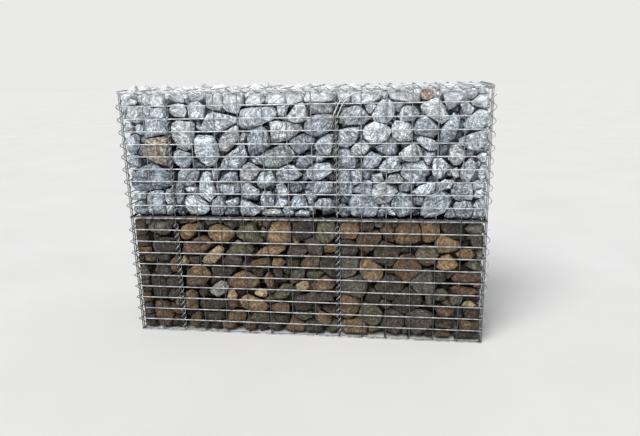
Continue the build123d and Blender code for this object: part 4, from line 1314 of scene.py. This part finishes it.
def compartment(tier, number, outlines, material):
    """All stones between two seams of one tier, joined into one piece that replaces the block of fill."""
    edges = (0, *SEAM_COLUMNS, FACE_COLUMNS)
    left, right = edges[number - 1], edges[number]
    look = LOOKS[tier]
    chance = np.random.default_rng(1000 * (tier == "upper") + number)
    low = np.array([column_x(left) + WIRE + WALL_GAP, -DEPTH / 2 + INSET, FLOOR[tier] + INSET])
    high = np.array([column_x(right) - WIRE - WALL_GAP, DEPTH / 2 - INSET, FLOOR[tier] + BASKET - WALL_GAP])
    low[0] = max(low[0], -LENGTH / 2 + INSET)
    high[0] = min(high[0], LENGTH / 2 - INSET)
    sides = open_sides(tier, number, low, high)
    walls = compartment_walls(low, high)
    bodies, colors, numbers = [], [], []

    def add(rock, middle, planes, own_walls, pole, grid, rim=None):
        """Carve one stone within the planes of its basket, and keep its body, colours and number."""
        normals = np.concatenate([planes[0], own_walls[0]])
        distances = np.concatenate([planes[1], own_walls[1] - own_walls[0] @ middle])
        fan = ray_fan(pole, *grid, rim)
        points, faces, tone = carve(middle, normals, distances, len(own_walls[0]), fan, look, chance)
        colors.append(stone_colors(rock, tone * chance.uniform(*STONE_TONE), points, sides))
        numbers.append(np.full(len(points), len(bodies) * NUMBER_STEP + number))
        bodies.append((points, faces))
        return points

    carved = []
    for rock, *corners in outlines:
        if left <= np.mean(corners[::2]) < right:
            stone = outline_stone(corners, tier, chance)
            peak = stone["peak"]
            own_walls = walls if peak is None else raise_roof(walls, peak, stone["rise"], high[2])
            pole = facing(stone["middle"], sides)[0]
            points = add(rock, stone["middle"], stone["planes"], own_walls, pole, GRIDS["hand"],
                         stone["rim"])
            stone["skin"] = points[::3]
            carved.append(stone)
    eggs = pack_layers(carved, tier, sides, low, high, look["kinds"], chance)
    for egg in eggs:
        middle = egg["middle"]
        planes = egg_planes(egg, eggs, carved, chance)
        own_walls = walls
        if tier == "upper" and high[2] - middle[2] < HEAP_DEPTH:
            heap = HEAP - HEAP_LOSS * np.clip((middle[0] - HEAP_FROM) / HEAP_SPAN, 0, 1)
            own_walls = raise_roof(walls, middle, heap * chance.uniform(*HEAP_PLAY), high[2])
        add(egg["rock"], middle, planes, own_walls, *facing(middle, sides))
    points, faces = join(bodies)
    values = {"rock_color": np.concatenate(colors), "stone_number": np.concatenate(numbers)}
    block = f"{tier}_stone_fill_{number}"
    new_piece(f"{tier}_stones_{number}", points, faces, material, block, values, CREASE)
    print(f"{tier}_stones_{number}: {len(carved)} stones by hand, {len(eggs)} packed, "
          f"{triangle_count(faces)} triangles")


for number in range(1, LAST + 1):
    compartment("lower", number, LOWER_FACE, BROWN_ROCK)
    compartment("upper", number, UPPER_FACE, GREY_ROCK)

# %% [markdown]
# The studio is plain. Its floor is one pale square that runs on far past the picture's edge.

# %% Floor
FLOOR_REACH = 30.0


def floor_material():
    """A pale matt floor with the faintest cloudiness."""
    material, tree, shader, place = start_material("pale_floor")
    clouds = noise(tree, place, 1.6, 3.0)
    tone = ramp(tree, clouds, [(0.3, linear(222, 221, 219)), (0.7, linear(227, 226, 224))])
    set_inputs(tree, shader, {"Base Color": tone, "Roughness": 0.9})
    return material


floor_mesh = bpy.data.meshes.new("studio_floor")
square = [(FLOOR_REACH * x, FLOOR_REACH * y, 0) for x, y in ((-1, -1), (1, -1), (1, 1), (-1, 1))]
floor_mesh.from_pydata(square, [], [(0, 1, 2, 3)])
floor_mesh.materials.append(floor_material())
studio_floor = bpy.data.objects.new("studio_floor", floor_mesh)
bpy.context.scene.collection.objects.link(studio_floor)
print("floor:", 2 * FLOOR_REACH, "m wide")

# %% [markdown]
# One broad soft light comes from above and in front. An area lamp would fade across the floor and throw a
# shadow of every wire. A sun as wide as a cloudy sky does neither. The world adds light from all around. The
# camera, reflections and glass see a plain backdrop in its place, whose tone puts no light on the object.

# %% Light and backdrop
LIGHT_WAY = Vector((0.22, 0.55, -0.80))
LIGHT_STRENGTH = 2.9
LIGHT_WIDTH = math.radians(38)
SKY_COLOR = (0.86, 0.89, 0.93, 1)
SKY_STRENGTH = 0.38
BACKDROP_COLOR = (0.82, 0.82, 0.81, 1)

sky_light = bpy.data.lights.new("sky_light", "SUN")
sky_light.energy = LIGHT_STRENGTH
sky_light.angle = LIGHT_WIDTH
lamp = bpy.data.objects.new("sky_light", sky_light)
lamp.rotation_euler = LIGHT_WAY.to_track_quat("-Z", "Y").to_euler()
bpy.context.scene.collection.objects.link(lamp)

world = bpy.data.worlds.new("studio")
world.use_nodes = True
bpy.context.scene.world = world
tree = world.node_tree
sky = tree.nodes["Background"]
set_inputs(tree, sky, {"Color": SKY_COLOR, "Strength": SKY_STRENGTH})
backdrop = node(tree, "ShaderNodeBackground", inputs={"Color": BACKDROP_COLOR, "Strength": 1.0})
rays = node(tree, "ShaderNodeLightPath").outputs
seen = combine(tree, "MAXIMUM", rays["Is Camera Ray"], rays["Is Glossy Ray"])
seen = combine(tree, "MAXIMUM", seen, rays["Is Transmission Ray"])
mixed = node(tree, "ShaderNodeMixShader", inputs={
    0: seen, 1: sky.outputs["Background"], 2: backdrop.outputs["Background"]})
set_inputs(tree, tree.nodes["World Output"], {"Surface": mixed.outputs["Shader"]})
bpy.context.scene.view_settings.view_transform = "Standard"
print("sun at", LIGHT_STRENGTH, "and sky at", SKY_STRENGTH)
